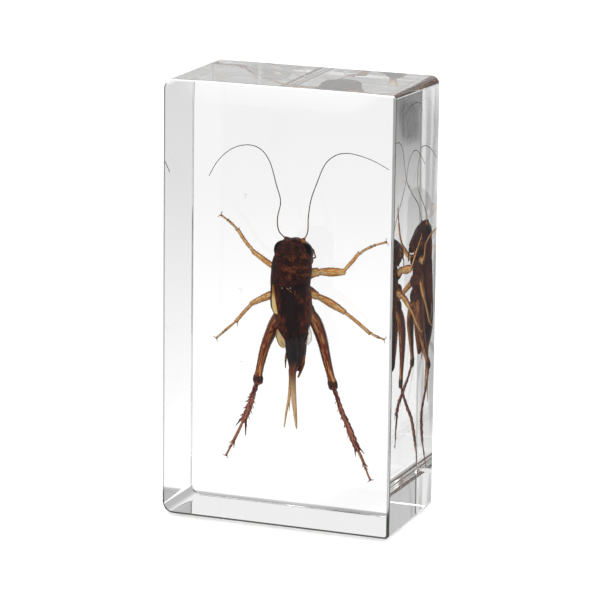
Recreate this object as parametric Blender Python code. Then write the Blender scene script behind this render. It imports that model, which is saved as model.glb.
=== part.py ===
"""A field cricket cast in a clear upright block.

Millimetres in the tables, metres in the scene. X runs to the right as seen from the front, Y runs from the
front face to the back face and Z up. The origin is under the middle of the block's base. The block is parted
in two at PARTING_Y, where each half has its share of the pocket that holds the specimen.
"""

import math

import bmesh
import bpy
import numpy as np
from mathutils import Vector

MM = 0.001
UP = (0.0, 0.0, 1.0)
DEPTH_WAY = (0.0, 1.0, 0.0)

# The block: a standing rectangle with four rounded edges that run from front to back.
BLOCK_WIDTH = 40.0
BLOCK_DEPTH = 21.0
BLOCK_HEIGHT = 73.0
CORNER_RADIUS = 1.6
CORNER_STEPS = 5
POLISHED_EDGE = 0.25
PARTING_Y = 3.0
PARTING_GAP = 0.3

# The pocket follows the specimen at this distance, and holds the leg spines and claws with some more.
CLEARANCE = 0.35
HEAD_ROOM = 0.7
SPINE_ROOM = 0.8
ANKLE_ROOM = 0.8
CLAW_ROOM = 1.3
DEPTH_ROOM = 0.6
ANTENNA_ROOM = 0.6

# Head and body stations: x, y, z of the middle, then the half width and the half depth.
# The head runs from the crown at the front to the mouth at the back.
HEAD = (
    (0.1, -0.6, 43.7, 1.3, 1.1),
    (0.1, 0.3, 44.1, 2.4, 2.0),
    (0.1, 1.8, 44.3, 3.0, 2.5),
    (0.0, 3.8, 44.4, 3.0, 2.3),
    (-0.1, 5.8, 44.1, 2.4, 1.8),
    (-0.2, 7.4, 43.9, 1.5, 1.2),
    (-0.2, 8.4, 43.8, 0.9, 0.7),
)
FOREHEAD = (
    (0.5, 1.0, 46.1, 1.1, 0.8),
    (0.4, 2.4, 46.5, 1.0, 0.5),
    (0.2, 3.8, 46.2, 0.9, 0.6),
)
MANDIBLE = (
    (0.55, 7.0, 43.3, 0.75, 0.8),
    (0.45, 8.3, 43.1, 0.5, 0.6),
    (0.1, 9.0, 43.2, 0.2, 0.3),
)
MOUTH_ROOM = (
    (-0.2, 6.4, 43.5, 2.0, 1.7),
    (-0.2, 7.8, 43.2, 2.0, 1.5),
    (-0.2, 8.9, 43.2, 1.2, 1.0),
)
# The pocket's own middle, around the body and the roots of the legs.
BODY_ROOM = (
    (-0.2, 2.4, 44.0, 3.5, 4.2),
    (-0.3, 2.5, 40.5, 4.0, 4.6),
    (-0.3, 2.6, 36.5, 4.3, 5.0),
    (0.0, 2.6, 33.0, 3.9, 4.9),
    (0.3, 2.6, 29.5, 2.9, 4.5),
    (0.6, 2.6, 26.0, 2.0, 3.9),
    (0.6, 2.4, 23.6, 1.6, 3.4),
)
PRONOTUM = (
    (-0.1, 2.1, 43.9, 2.9, 3.0),
    (-0.1, 2.1, 43.5, 3.3, 3.4),
    (-0.3, 2.1, 41.8, 3.5, 3.6),
    (-0.5, 2.1, 39.6, 3.4, 3.5),
    (-0.5, 2.0, 38.6, 3.1, 3.2),
)
THORAX = (
    (-0.4, 3.2, 40.5, 2.6, 3.0),
    (-0.4, 3.4, 38.4, 2.7, 3.2),
    (-0.3, 3.3, 36.4, 2.7, 3.4),
    (-0.1, 3.2, 34.6, 2.6, 3.4),
)
# The abdomen tapers from its first segment to the last, and each segment overlaps the next like a tile.
ABDOMEN = (
    (0.0, 3.1, 35.2, 2.6, 3.4),
    (0.4, 3.1, 30.4, 2.2, 3.2),
    (0.7, 4.4, 24.3, 0.8, 1.1),
)
ABDOMEN_SEGMENTS = 8
SEGMENT_STEP = 0.16
SEGMENT_REAR = 0.85

# Each forewing is a thin curved plate over the back: x, y, z, half width and half thickness.
FOREWING_LEFT = (
    (-1.6, -0.6, 39.2, 1.9, 0.5),
    (-2.0, -0.8, 37.0, 2.0, 0.6),
    (-1.9, -0.8, 35.0, 1.9, 0.6),
    (-1.0, -0.9, 32.8, 1.7, 0.6),
    (-0.3, -1.0, 30.8, 1.3, 0.5),
    (0.1, -1.0, 29.4, 0.8, 0.3),
)
FOREWING_RIGHT = (
    (1.0, -0.8, 39.2, 1.8, 0.5),
    (1.2, -1.0, 37.0, 2.0, 0.6),
    (1.4, -1.0, 35.0, 2.0, 0.6),
    (1.6, -1.0, 32.8, 1.7, 0.6),
    (1.4, -1.1, 30.8, 1.2, 0.5),
    (1.2, -1.1, 29.4, 0.7, 0.3),
)
# The forewings' side fields hang down the flanks.
SIDE_FIELD_LEFT = (
    (-3.2, 1.0, 39.0, 0.4, 1.4),
    (-3.6, 1.1, 36.8, 0.4, 1.9),
    (-3.4, 1.1, 34.6, 0.4, 1.9),
    (-2.6, 1.0, 32.6, 0.4, 1.4),
    (-2.0, 0.8, 31.4, 0.3, 0.7),
)
SIDE_FIELD_RIGHT = (
    (2.4, 1.0, 39.0, 0.4, 1.4),
    (2.8, 1.1, 36.8, 0.4, 1.9),
    (2.9, 1.1, 34.6, 0.4, 1.9),
    (2.7, 1.0, 32.6, 0.4, 1.4),
    (2.2, 0.8, 31.0, 0.3, 0.7),
)
FOLDED_HINDWINGS = (
    (0.4, -0.4, 33.0, 1.9, 0.9),
    (0.6, -0.7, 30.0, 1.7, 1.0),
    (0.6, -0.5, 27.0, 1.5, 1.1),
    (0.5, -0.1, 24.6, 1.0, 0.9),
    (0.5, 0.1, 22.6, 0.7, 0.6),
)
FOREWINGS = (FOREWING_LEFT, FOREWING_RIGHT)
OTHER_WINGS = (SIDE_FIELD_LEFT, SIDE_FIELD_RIGHT, FOLDED_HINDWINGS)
WING_LOBE = (
    (-1.0, 0.6, 31.6, 0.8, 0.25),
    (-1.9, 0.8, 30.2, 0.9, 0.2),
    (-1.6, 0.8, 29.0, 0.8, 0.2),
    (-1.0, 0.6, 28.2, 0.5, 0.2),
)
TAIL_LEFT = (
    (0.3, 0.1, 24.0, 0.5, 0.4),
    (0.2, 0.1, 21.4, 0.35, 0.35),
    (-0.1, 0.1, 19.0, 0.25, 0.3),
    (-0.5, 0.1, 16.8, 0.2, 0.2),
    (-0.8, 0.1, 15.2, 0.12, 0.12),
)
TAIL_RIGHT = (
    (0.7, -0.2, 24.0, 0.6, 0.4),
    (0.8, -0.2, 21.5, 0.5, 0.35),
    (1.1, -0.2, 19.0, 0.45, 0.3),
    (1.4, -0.2, 16.8, 0.3, 0.2),
    (1.7, -0.2, 15.2, 0.12, 0.12),
)
TAILS = (TAIL_LEFT, TAIL_RIGHT)
CERCUS_LEFT = (
    (-0.1, 4.2, 25.6, 0.35, 0.35),
    (-0.5, 4.7, 24.2, 0.25, 0.25),
    (-0.8, 5.0, 23.2, 0.1, 0.1),
)
CERCUS_RIGHT = (
    (1.2, 4.2, 25.6, 0.4, 0.4),
    (1.6, 4.5, 24.4, 0.35, 0.3),
    (1.1, 4.7, 22.9, 0.15, 0.15),
)
CERCI = (CERCUS_LEFT, CERCUS_RIGHT)
EYES = ((-2.5, 2.1, 44.8), (2.6, 2.1, 44.7))
EYE_RADII = (0.75, 1.0, 1.15)
PALPS = (
    ((0.9, 7.2, 43.4, 0.25, 0.25), (1.6, 8.0, 42.4, 0.2, 0.2), (1.5, 8.2, 41.2, 0.25, 0.25)),
    ((-1.3, 7.2, 43.4, 0.25, 0.25), (-2.0, 8.0, 42.4, 0.2, 0.2), (-1.8, 8.2, 41.2, 0.25, 0.25)),
    ((2.2, 5.2, 44.0, 0.25, 0.25), (3.7, 5.4, 44.4, 0.15, 0.15), (3.9, 5.6, 43.2, 0.15, 0.15)),
)

# Legs, from the hip to the toe: x, y, z, radius across and radius in depth.
LEGS = {
    "fore_left": {
        "femur": (
            (-2.6, 5.0, 40.8, 0.7, 0.8),
            (-4.7, 5.9, 41.4, 0.45, 0.6),
            (-6.6, 6.4, 42.4, 0.45, 0.55),
            (-8.2, 6.7, 43.3, 0.4, 0.4),
        ),
        "tibia": (
            (-8.0, 6.7, 43.2, 0.3, 0.3),
            (-9.6, 6.7, 44.9, 0.3, 0.3),
            (-10.9, 6.4, 46.8, 0.3, 0.3),
        ),
        "tarsus": (
            (-10.8, 6.4, 46.7, 0.2, 0.2),
            (-12.2, 5.8, 48.1, 0.2, 0.2),
            (-13.6, 5.0, 49.2, 0.15, 0.15),
        ),
    },
    "fore_right": {
        "femur": (
            (2.2, 5.0, 40.8, 0.8, 0.9),
            (3.7, 5.9, 41.1, 0.5, 0.6),
            (5.6, 6.8, 41.1, 0.75, 0.7),
            (7.6, 7.6, 41.2, 0.5, 0.5),
        ),
        "tibia": (
            (7.4, 7.5, 41.2, 0.3, 0.3),
            (8.8, 8.0, 42.9, 0.3, 0.3),
            (9.9, 8.5, 44.4, 0.3, 0.3),
        ),
        "tarsus": (
            (9.8, 8.5, 44.3, 0.2, 0.2),
            (12.2, 8.0, 45.8, 0.2, 0.2),
            (15.1, 6.6, 47.0, 0.15, 0.15),
        ),
    },
    "mid_left": {
        "femur": (
            (-2.6, 4.4, 36.9, 0.8, 0.9),
            (-4.6, 5.0, 36.5, 0.65, 0.7),
            (-6.6, 6.4, 35.5, 0.6, 0.6),
            (-8.6, 7.4, 34.4, 0.4, 0.4),
        ),
        "tibia": (
            (-8.4, 7.3, 34.5, 0.3, 0.3),
            (-10.0, 7.9, 32.8, 0.3, 0.3),
            (-11.5, 8.2, 31.0, 0.3, 0.3),
        ),
        "tarsus": (
            (-11.4, 8.2, 31.1, 0.2, 0.2),
            (-13.4, 8.2, 29.3, 0.2, 0.2),
            (-15.0, 8.0, 27.8, 0.15, 0.15),
        ),
    },
    "mid_right": {
        "femur": (
            (2.0, 5.0, 37.5, 0.8, 0.9),
            (3.9, 5.9, 36.9, 0.5, 0.6),
            (5.8, 6.5, 35.8, 0.7, 0.7),
            (7.9, 7.0, 34.6, 0.45, 0.45),
        ),
        "tibia": (
            (7.7, 7.0, 34.7, 0.3, 0.3),
            (10.1, 7.4, 33.0, 0.3, 0.3),
            (12.2, 7.8, 31.3, 0.3, 0.3),
        ),
        "tarsus": (
            (12.1, 7.8, 31.4, 0.2, 0.2),
            (13.6, 7.9, 30.8, 0.2, 0.2),
            (15.1, 7.9, 30.4, 0.15, 0.15),
        ),
    },
    "hind_left": {
        "femur": (
            (-1.9, 4.4, 34.8, 0.8, 1.2),
            (-3.6, 4.9, 32.4, 0.9, 1.6),
            (-4.5, 4.8, 30.4, 0.9, 1.6),
            (-5.2, 4.0, 28.1, 0.8, 1.3),
            (-5.7, 3.2, 25.6, 0.65, 0.9),
            (-6.0, 2.6, 23.3, 0.6, 0.7),
            (-6.1, 2.4, 22.2, 0.7, 0.75),
        ),
        "tibia": (
            (-6.1, 2.4, 22.3, 0.4, 0.4),
            (-7.2, 3.7, 19.8, 0.35, 0.35),
            (-7.9, 5.0, 18.3, 0.35, 0.35),
            (-9.0, 6.7, 16.0, 0.4, 0.4),
            (-9.8, 7.0, 14.3, 0.45, 0.45),
        ),
        "tarsus": (
            (-9.7, 7.0, 14.5, 0.25, 0.25),
            (-10.8, 6.5, 11.9, 0.25, 0.25),
            (-11.8, 5.9, 9.7, 0.2, 0.2),
            (-12.5, 5.6, 8.2, 0.15, 0.15),
        ),
    },
    "hind_right": {
        "femur": (
            (1.6, 4.6, 34.8, 0.8, 1.2),
            (2.9, 5.8, 33.0, 0.9, 1.6),
            (3.8, 6.1, 31.0, 0.85, 1.6),
            (4.6, 5.8, 28.8, 0.75, 1.4),
            (5.4, 5.2, 26.2, 0.7, 1.0),
            (6.3, 4.3, 23.9, 0.65, 0.75),
            (6.9, 3.7, 22.4, 0.7, 0.75),
        ),
        "tibia": (
            (6.8, 3.7, 22.5, 0.4, 0.4),
            (7.4, 4.6, 20.4, 0.35, 0.35),
            (7.8, 6.2, 18.0, 0.35, 0.35),
            (8.4, 7.9, 15.7, 0.4, 0.4),
            (9.3, 8.6, 13.2, 0.5, 0.45),
            (10.2, 8.8, 11.2, 0.45, 0.45),
        ),
        "tarsus": (
            (10.1, 8.8, 11.4, 0.3, 0.3),
            (11.0, 8.8, 9.7, 0.25, 0.25),
            (11.7, 8.6, 8.1, 0.2, 0.2),
            (12.6, 8.4, 6.3, 0.15, 0.15),
        ),
    },
}
# Where the hind shins' spines start as a share of the shin, how many pairs there are, and their length.
SPINES = {"hind_left": (0.45, 4, 1.0), "hind_right": (0.3, 5, 0.9)}
NO_SPINES = (1.0, 0, 0.0)
LAST_SPINES_AT = 0.92
SPINE_RADIUS = 0.12
SPINE_TIP_RADIUS = 0.04
LONG_SPUR = 1.3
SHORT_SPUR = 0.7
CLAW_LENGTH = 0.6
CLAW_RADIUS = 0.1
# Spurs and claws root at this share of their limb. A lean is how far along the limb and how far away from
# it a spine reaches, as shares of its length.
LIMB_END = 0.97
SPINE_LEAN = (0.75, 0.75)
SPUR_LEAN = (0.9, 0.5)
CLAW_LEAN = (0.45, 0.9)
# How far a loft's end is domed, as a share of its smaller radius.
DOME_SHARE = 0.6

# Each antenna springs from between the eyes, bends back and arches outwards near the block's back face.
ANTENNA_RADIUS = 0.1
ANTENNA_TIP_SHARE = 0.7
ANTENNA_JOINT_RADIUS = 0.3
ANTENNA_JOINT = (-0.6, 0.3)
ANTENNA_LEFT = (
    (-1.3, 2.4, 46.5),
    (-2.6, 2.1, 47.8),
    (-3.1, 3.0, 49.8),
    (-3.3, 6.0, 52.2),
    (-4.5, 7.8, 54.7),
    (-5.8, 8.2, 58.4),
    (-7.5, 8.2, 60.4),
    (-9.8, 8.2, 60.9),
    (-12.6, 8.2, 60.0),
    (-15.0, 8.2, 57.8),
    (-16.5, 8.0, 55.2),
)
ANTENNA_RIGHT = (
    (1.6, 2.3, 46.5),
    (2.3, 2.6, 48.0),
    (2.0, 4.3, 50.3),
    (1.9, 6.6, 52.9),
    (2.6, 7.7, 55.5),
    (3.9, 8.0, 58.7),
    (5.6, 8.4, 60.3),
    (7.5, 8.5, 60.8),
    (9.6, 8.1, 60.7),
    (12.4, 7.8, 60.0),
    (15.1, 7.6, 58.8),
)
ANTENNAE = (ANTENNA_LEFT, ANTENNA_RIGHT)

SMOOTH_UP_TO = math.radians(40)

# Colours and finishes: base colour, roughness and metallic value, and how much light goes through.
RESIN = ((0.95, 0.96, 0.96), 0.03, 0.0, 1.0)
CUTICLE = ((0.10, 0.035, 0.015), 0.35, 0.0, 0.0)


def material(name, finish):
    """A Principled material in the given finish."""
    colour, roughness, metallic, transmission = finish
    made = bpy.data.materials.new(name)
    made.use_nodes = True
    shader = made.node_tree.nodes["Principled BSDF"]
    shader.inputs["Base Color"].default_value = (*colour, 1.0)
    shader.inputs["Roughness"].default_value = roughness
    shader.inputs["Metallic"].default_value = metallic
    shader.inputs["Transmission Weight"].default_value = transmission
    return made


def add_object(name, shape):
    """An object in the scene that holds this bmesh, with its normals pointing outwards."""
    bmesh.ops.recalc_face_normals(shape, faces=shape.faces)
    mesh = bpy.data.meshes.new(name)
    shape.to_mesh(mesh)
    shape.free()
    added = bpy.data.objects.new(name, mesh)
    bpy.context.scene.collection.objects.link(added)
    return added


def unit(vector):
    """The vector at length one."""
    return vector / np.linalg.norm(vector)


def through(stations, steps):
    """The stations with steps points to each span, on a smooth curve through all of them."""
    rows = np.array(stations, float)
    ends = np.vstack([rows[0] * 2 - rows[1], rows, rows[-1] * 2 - rows[-2]])
    smooth = []
    for before, start, end, after in zip(ends, ends[1:], ends[2:], ends[3:]):
        for t in np.arange(steps) / steps:
            point = start * 2 + (end - before) * t
            point = point + (before * 2 - start * 5 + end * 4 - after) * t**2
            point = point + (start * 3 - before - end * 3 + after) * t**3
            smooth.append(point / 2)
    return np.vstack([*smooth, rows[-1]])


def loft(stations, sides, deep=DEPTH_WAY, grow=0.0):
    """A closed tapering tube along the stations, with oval sections and domed ends.

    deep is the direction of each section's second radius, and grow is added all round.
    """
    shape = bmesh.new()
    rows = np.array(stations, float)
    middles = rows[:, :3]
    ways = [unit(way) for way in np.gradient(middles, axis=0)]
    angles = 2 * math.pi * (np.arange(sides) + 0.5) / sides
    rings = []
    for middle, way, (wide, high) in zip(middles, ways, rows[:, 3:] + grow):
        depth = unit(np.array(deep, float) - way * np.dot(deep, way))
        across = np.cross(way, depth)
        places = [middle + across * wide * math.cos(a) + depth * high * math.sin(a) for a in angles]
        rings.append([shape.verts.new(Vector(place) * MM) for place in places])
    for first, second in zip(rings, rings[1:]):
        for side in range(sides):
            after = (side + 1) % sides
            shape.faces.new((first[side], first[after], second[after], second[side]))
    for end, sign in ((0, -1), (-1, 1)):
        dome = DOME_SHARE * min(rows[end, 3:]) + grow
        tip = shape.verts.new(Vector(middles[end] + ways[end] * sign * dome) * MM)
        for side in range(sides):
            shape.faces.new((rings[end][side], rings[end][(side + 1) % sides], tip))
    bmesh.ops.triangulate(shape, faces=shape.faces)
    return shape


def tube(points, radius, sides, grow=0.0):
    """A loft of one radius."""
    return loft([(*point, radius, radius) for point in points], sides, grow=grow)


def spine(root, tip, radius):
    """A thin three-sided spike from root to tip."""
    return loft([(*root, radius, radius), (*tip, SPINE_TIP_RADIUS, SPINE_TIP_RADIUS)], 3)


def eye(middle, radii):
    """A faceted dome, longest up and down."""
    shape = bmesh.new()
    bmesh.ops.create_icosphere(shape, subdivisions=2, radius=1.0)
    for vert in shape.verts:
        vert.co = Vector(np.array(middle) + np.array(vert.co) * np.array(radii)) * MM
    return shape


def abdomen_stations():
    """Segments that widen towards their rear edges, on a curve from the first to the last."""
    curve = through(ABDOMEN, ABDOMEN_SEGMENTS // 2)
    lip = np.array((0, 0, 0, SEGMENT_STEP, SEGMENT_STEP))
    stations = []
    for front, rear in zip(curve, curve[1:]):
        stations += [front, front + (rear - front) * SEGMENT_REAR + lip]
    return [*stations, curve[-1]]


def antenna(route, steps, sides, grow=0.0):
    """A thick first joint and a whip that thins slightly to its tip."""
    points = through(route, steps)
    radii = ANTENNA_RADIUS * np.linspace(1.0, ANTENNA_TIP_SHARE, len(points))
    whip = loft(np.column_stack([points, radii, radii]), sides, grow=grow)
    way = unit(points[1] - points[0])
    ends = [points[0] + way * end for end in ANTENNA_JOINT]
    return [whip, tube(ends, ANTENNA_JOINT_RADIUS, 6, grow)]


def place_on(stations, share):
    """The point at this share of a limb's length, and the limb's direction there."""
    curve = through(stations, 8)[:, :3]
    place = share * (len(curve) - 1)
    index = min(int(place), len(curve) - 2)
    way = curve[index + 1] - curve[index]
    return curve[index] + way * (place - index), unit(way)


def fork(stations, share, length, lean, radius=SPINE_RADIUS):
    """Two spines that lean away from a limb on its left and its right."""
    along, across = lean
    root, way = place_on(stations, share)
    side = unit(np.cross(way, DEPTH_WAY))
    return [spine(root, root + (way * along + side * sign * across) * length, radius) for sign in (-1, 1)]


def leg_pieces(name):
    """One leg: thigh, shin with its spines and spurs, foot and claws."""
    leg = LEGS[name]
    pieces = [loft(leg["femur"], 8), loft(leg["tibia"], 6), loft(leg["tarsus"], 5)]
    start, pairs, length = SPINES.get(name, NO_SPINES)
    for share in np.linspace(start, LAST_SPINES_AT, pairs):
        pieces += fork(leg["tibia"], share, length, SPINE_LEAN)
    spur = LONG_SPUR if pairs else SHORT_SPUR
    pieces += fork(leg["tibia"], LIMB_END, spur, SPUR_LEAN)
    pieces += fork(leg["tarsus"], LIMB_END, CLAW_LENGTH, CLAW_LEAN, CLAW_RADIUS)
    return pieces


def specimen_pieces():
    """The closed shapes that the cricket is fused from."""
    mandible = np.array(MANDIBLE)
    other_mandible = mandible * (-1, 1, 1, 1, 1) + (2 * HEAD[-1][0], 0, 0, 0, 0)
    pieces = [loft(rows, 6, deep=UP) for rows in (mandible, other_mandible)]
    pieces += [loft(HEAD, 12, deep=UP), loft(FOREHEAD, 8, deep=UP)]
    pieces += [loft(PRONOTUM, 16), loft(THORAX, 12), loft(abdomen_stations(), 10)]
    pieces += [loft(through(plate, 2), 8) for plate in FOREWINGS]
    pieces += [loft(plate, 8) for plate in OTHER_WINGS]
    pieces += [loft(rows, 6) for rows in (WING_LOBE, *TAILS, *CERCI)]
    pieces += [loft(palp, 5) for palp in PALPS]
    pieces += [eye(middle, EYE_RADII) for middle in EYES]
    for route in ANTENNAE:
        pieces += antenna(route, 2, 4)
    for name in LEGS:
        pieces += leg_pieces(name)
    return pieces


def leg_room(name):
    """The pocket for one leg: the thigh's, and one for the shin and foot that clears spines and claws."""
    leg = LEGS[name]
    lower = np.array([*leg["tibia"], *leg["tarsus"][1:]])
    ankle = len(leg["tibia"]) - 1
    room = np.full(len(lower), CLEARANCE)
    room[ankle] = ANKLE_ROOM
    room[-1] = CLAW_ROOM
    if name in SPINES:
        room[1:ankle] = SPINE_ROOM
        room[ankle] = LONG_SPUR
    lower[:, 3] += room
    lower[:, 4] += np.minimum(room, DEPTH_ROOM)
    return [loft(leg["femur"], 6, grow=CLEARANCE), loft(lower, 6)]


def pocket_pieces():
    """The same shapes fattened all round and with fewer faces."""
    pieces = [loft(HEAD, 12, deep=UP, grow=HEAD_ROOM), loft(FOREHEAD, 8, deep=UP, grow=CLEARANCE)]
    pieces += [loft(MOUTH_ROOM, 8, deep=UP)]
    pieces += [loft(BODY_ROOM, 16), loft(PRONOTUM, 12, grow=CLEARANCE)]
    pieces += [loft(plate, 8, grow=CLEARANCE) for plate in (*FOREWINGS, *OTHER_WINGS)]
    pieces += [loft(rows, 6, grow=CLEARANCE) for rows in (WING_LOBE, *TAILS, *CERCI)]
    pieces += [loft(palp, 5, grow=CLEARANCE) for palp in PALPS]
    for route in ANTENNAE:
        pieces += antenna(route, 1, 4, ANTENNA_ROOM)
    for name in LEGS:
        pieces += leg_room(name)
    return pieces


def fused(name, shapes):
    """One closed object: the union of overlapping closed shapes."""
    joined, *others = [add_object(name, shape) for shape in shapes]
    for other in others:
        join = joined.modifiers.new("join", "BOOLEAN")
        join.operation = "UNION"
        join.object = other
    graph = bpy.context.evaluated_depsgraph_get()
    joined.data = bpy.data.meshes.new_from_object(joined.evaluated_get(graph))
    joined.modifiers.clear()
    for other in others:
        bpy.data.objects.remove(other)
    return joined


def outline(inset):
    """The block's front outline, as x and z in turn, moved inwards by inset."""
    radius = CORNER_RADIUS - inset
    points = []
    for quarter, (side, level) in enumerate(((1, 1), (-1, 1), (-1, -1), (1, -1))):
        middle_x = side * (BLOCK_WIDTH / 2 - CORNER_RADIUS)
        middle_z = BLOCK_HEIGHT / 2 + level * (BLOCK_HEIGHT / 2 - CORNER_RADIUS)
        for step in range(CORNER_STEPS + 1):
            angle = math.pi / 2 * (quarter + step / CORNER_STEPS)
            points.append((middle_x + radius * math.cos(angle), middle_z + radius * math.sin(angle)))
    return points


def half_block(name, outer_y, parting_y):
    """One half of the block: its outer face has a fine polished edge, and its inner face is plain."""
    inwards = math.copysign(POLISHED_EDGE, parting_y - outer_y)
    shape = bmesh.new()
    rings = []
    for y, inset in ((outer_y, POLISHED_EDGE), (outer_y + inwards, 0.0), (parting_y, 0.0)):
        rings.append([shape.verts.new(Vector((x, y, z)) * MM) for x, z in outline(inset)])
    for first, second in zip(rings, rings[1:]):
        for index, vert in enumerate(first):
            after = (index + 1) % len(first)
            shape.faces.new((vert, first[after], second[after], second[index]))
    shape.faces.new(rings[0])
    shape.faces.new(rings[-1])
    return add_object(name, shape)


def cut_pocket(half, pocket):
    """Sinks the specimen's pocket into one half of the block."""
    cut = half.modifiers.new("pocket", "BOOLEAN")
    cut.operation = "DIFFERENCE"
    cut.object = pocket


def finish(piece, look):
    """The piece's own material, and smooth shading over its rounded parts."""
    piece.data.materials.append(material(piece.name, look))
    piece.data.shade_smooth()
    piece.data.set_sharp_from_angle(angle=SMOOTH_UP_TO)


def main():
    for old in list(bpy.data.objects):
        bpy.data.objects.remove(old)
    pocket = fused("pocket", pocket_pieces())
    pocket.hide_render = True
    pocket.display_type = "WIRE"
    for name, side in (("resin_front", -1), ("resin_back", 1)):
        half = half_block(name, side * BLOCK_DEPTH / 2, PARTING_Y + side * PARTING_GAP / 2)
        finish(half, RESIN)
        cut_pocket(half, pocket)
    finish(fused("cricket", specimen_pieces()), CUTICLE)


main()
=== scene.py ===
"""A field cricket cast in a clear upright resin block.

The tables are in millimetres and the scene is in metres. X runs to the right as seen from the front, Y runs
from the front face to the back face and Z up. The origin is under the middle of the block's base.
"""

import math
from functools import cached_property

import bmesh
import bpy
import numpy as np
from bpy.props import FloatProperty, FloatVectorProperty, IntProperty, PointerProperty
from bpy.types import Operator, Panel, PropertyGroup
from mathutils import Matrix, Vector


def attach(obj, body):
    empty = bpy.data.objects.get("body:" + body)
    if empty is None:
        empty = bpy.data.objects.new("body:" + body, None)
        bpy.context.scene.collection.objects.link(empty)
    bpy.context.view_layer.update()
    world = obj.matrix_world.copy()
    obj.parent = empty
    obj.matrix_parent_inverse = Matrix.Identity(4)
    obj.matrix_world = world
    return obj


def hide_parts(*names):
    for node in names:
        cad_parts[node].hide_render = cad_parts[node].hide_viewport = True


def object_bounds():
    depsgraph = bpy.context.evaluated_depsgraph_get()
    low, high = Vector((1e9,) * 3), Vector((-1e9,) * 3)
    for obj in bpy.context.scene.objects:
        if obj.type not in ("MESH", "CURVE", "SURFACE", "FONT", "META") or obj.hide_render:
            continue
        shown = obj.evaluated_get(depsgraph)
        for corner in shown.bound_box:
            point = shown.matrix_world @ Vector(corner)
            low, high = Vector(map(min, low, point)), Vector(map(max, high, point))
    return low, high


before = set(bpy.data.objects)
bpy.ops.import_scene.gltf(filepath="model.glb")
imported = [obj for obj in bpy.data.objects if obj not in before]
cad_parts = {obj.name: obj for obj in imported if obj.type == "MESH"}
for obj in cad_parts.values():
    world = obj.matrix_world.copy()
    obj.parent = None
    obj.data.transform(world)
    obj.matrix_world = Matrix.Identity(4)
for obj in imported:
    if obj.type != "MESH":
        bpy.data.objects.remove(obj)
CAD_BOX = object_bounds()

bl_info = {
    "name": "Cricket in Clear Block",
    "version": (1, 0, 0),
    "blender": (4, 5, 0),
    "location": "View3D > Sidebar > Cricket",
    "description": "Builds a dried field cricket cast in a clear upright block",
    "category": "Mesh",
}

MM = 0.001
UP = (0.0, 0.0, 1.0)
DEPTH_WAY = (0.0, 1.0, 0.0)

# The block's defaults are the frame's own sizes.
LOW, HIGH = CAD_BOX
BLOCK_SIZE = HIGH - LOW
CORNER_STEPS = 16
EDGE_STEPS = 12
PILLOW_STEPS = 6
# Hand polishing left each corner its own radius, at the front and at the back: top right, top left, bottom
# left and bottom right.
CORNER_SHARES = ((0.4, 1.1, 1.2, 0.5), (0.9, 1.0, 1.2, 0.7))
CORNER_SIDES = ((1, 1), (-1, 1), (-1, -1), (1, -1))
LEAST_CORNER = 0.2
TOP_STEPS = 24
PILLOW_FADE = 0.16

# Camera: where it looks from, in degrees, and the place that it looks at.
CAMERA_AZIMUTH = 21.27
CAMERA_ELEVATION = 13.17
CAMERA_ROLL = 0.65
CAMERA_DISTANCE = 605.6
CAMERA_TARGET = (0.08, 0.0, 35.86)
CAMERA_SENSOR = 36.0
CAMERA_REACH = 10.0
LIGHT_BOUNCES = 24
GLOSSY_BOUNCES = 16

# The floor is a large sheet just under the block. Only the camera and matt surfaces see it.
FLOOR_SIZE = 6.0
FLOOR_DROP = 0.0003
# What the resin mirrors and bends is a studio of its own, as a photographer builds one for glass: a light
# sheet and a dark mirror sheet on the floor, a card beside the block and a dome. Compass ways are in degrees,
# from the front to the right.
SHEET_DROP = 0.0002
MIRROR_DROP = 0.0001
DOME_RADIUS = 2.5
DARK_WAY, DARK_SPREAD, DARK_DEPTH = -22.0, 38.0, 0.85
DIM_WAY, DIM_SPREAD, DIM_START, DIM_SLOPE = 158.0, 26.0, 0.1, 0.00035
KEY_WAY, KEY_SPREAD = -20.0, 60.0
# The light sheet's brightness, its fall and where the fall begins and ends, and where the dark way does.
SHEET_LEVEL, SHEET_FALL, SHEET_NEAR, SHEET_FAR = 1.15, 0.17, 60.0, 290.0
DARK_NEAR, DARK_FAR = 150.0, 420.0
# Its soft dark patch: how far off, how long, how far across, its lean, its width and its darkest.
PATCH_REACH, PATCH_LENGTH = 354.0, 34.0
PATCH_ACROSS, PATCH_LEAN, PATCH_WIDTH = -12.0, 0.0274, 2.5
PATCH_LEVEL, PATCH_INNER, PATCH_OUTER = 0.36, 0.9, 1.5
# Its shade under the block: how far past the block it begins and ends, how deep, and how streaked.
SHADE_INNER, SHADE_OUTER, SHADE_DEPTH, SHADE_STREAK = 2.0, 3.0, 0.6, 0.15
# The mirror sheet's pale middle.
MIDDLE_LEVEL, MIDDLE_NEAR, MIDDLE_FAR = 0.75, 20.0, 80.0
# The dome: where its front begins and ends, its dim way, and the heights of its light and of its key light.
FRONT_START, FRONT_END = -0.1, -0.6
DOME_DIM_SPREAD, DOME_DIM_DEPTH = 30.0, 0.45
HIGH_LEVEL, HIGH_START, HIGH_END = 1.05, 0.35, 0.75
KEY_START, KEY_END = 0.45, 0.6
CARD_GAP, CARD_WIDTH, CARD_HEIGHT, CARD_BACK = 0.5, 7.5, 70.0, 3.0
CARD_LEVEL, CARD_STREAK, CARD_RIM = 0.52, 0.4, 12.0
SHEET_GRID, CARD_GRID, DOME_GRID = (8, 8), (4, 16), (48, 24)

# Limbs end in domes: how high they are, as a share of the smaller radius, and the turns of their rings.
DOME_SHARE = 0.6
DOME_TURNS = (25.0, 50.0, 70.0, 85.0)
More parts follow.
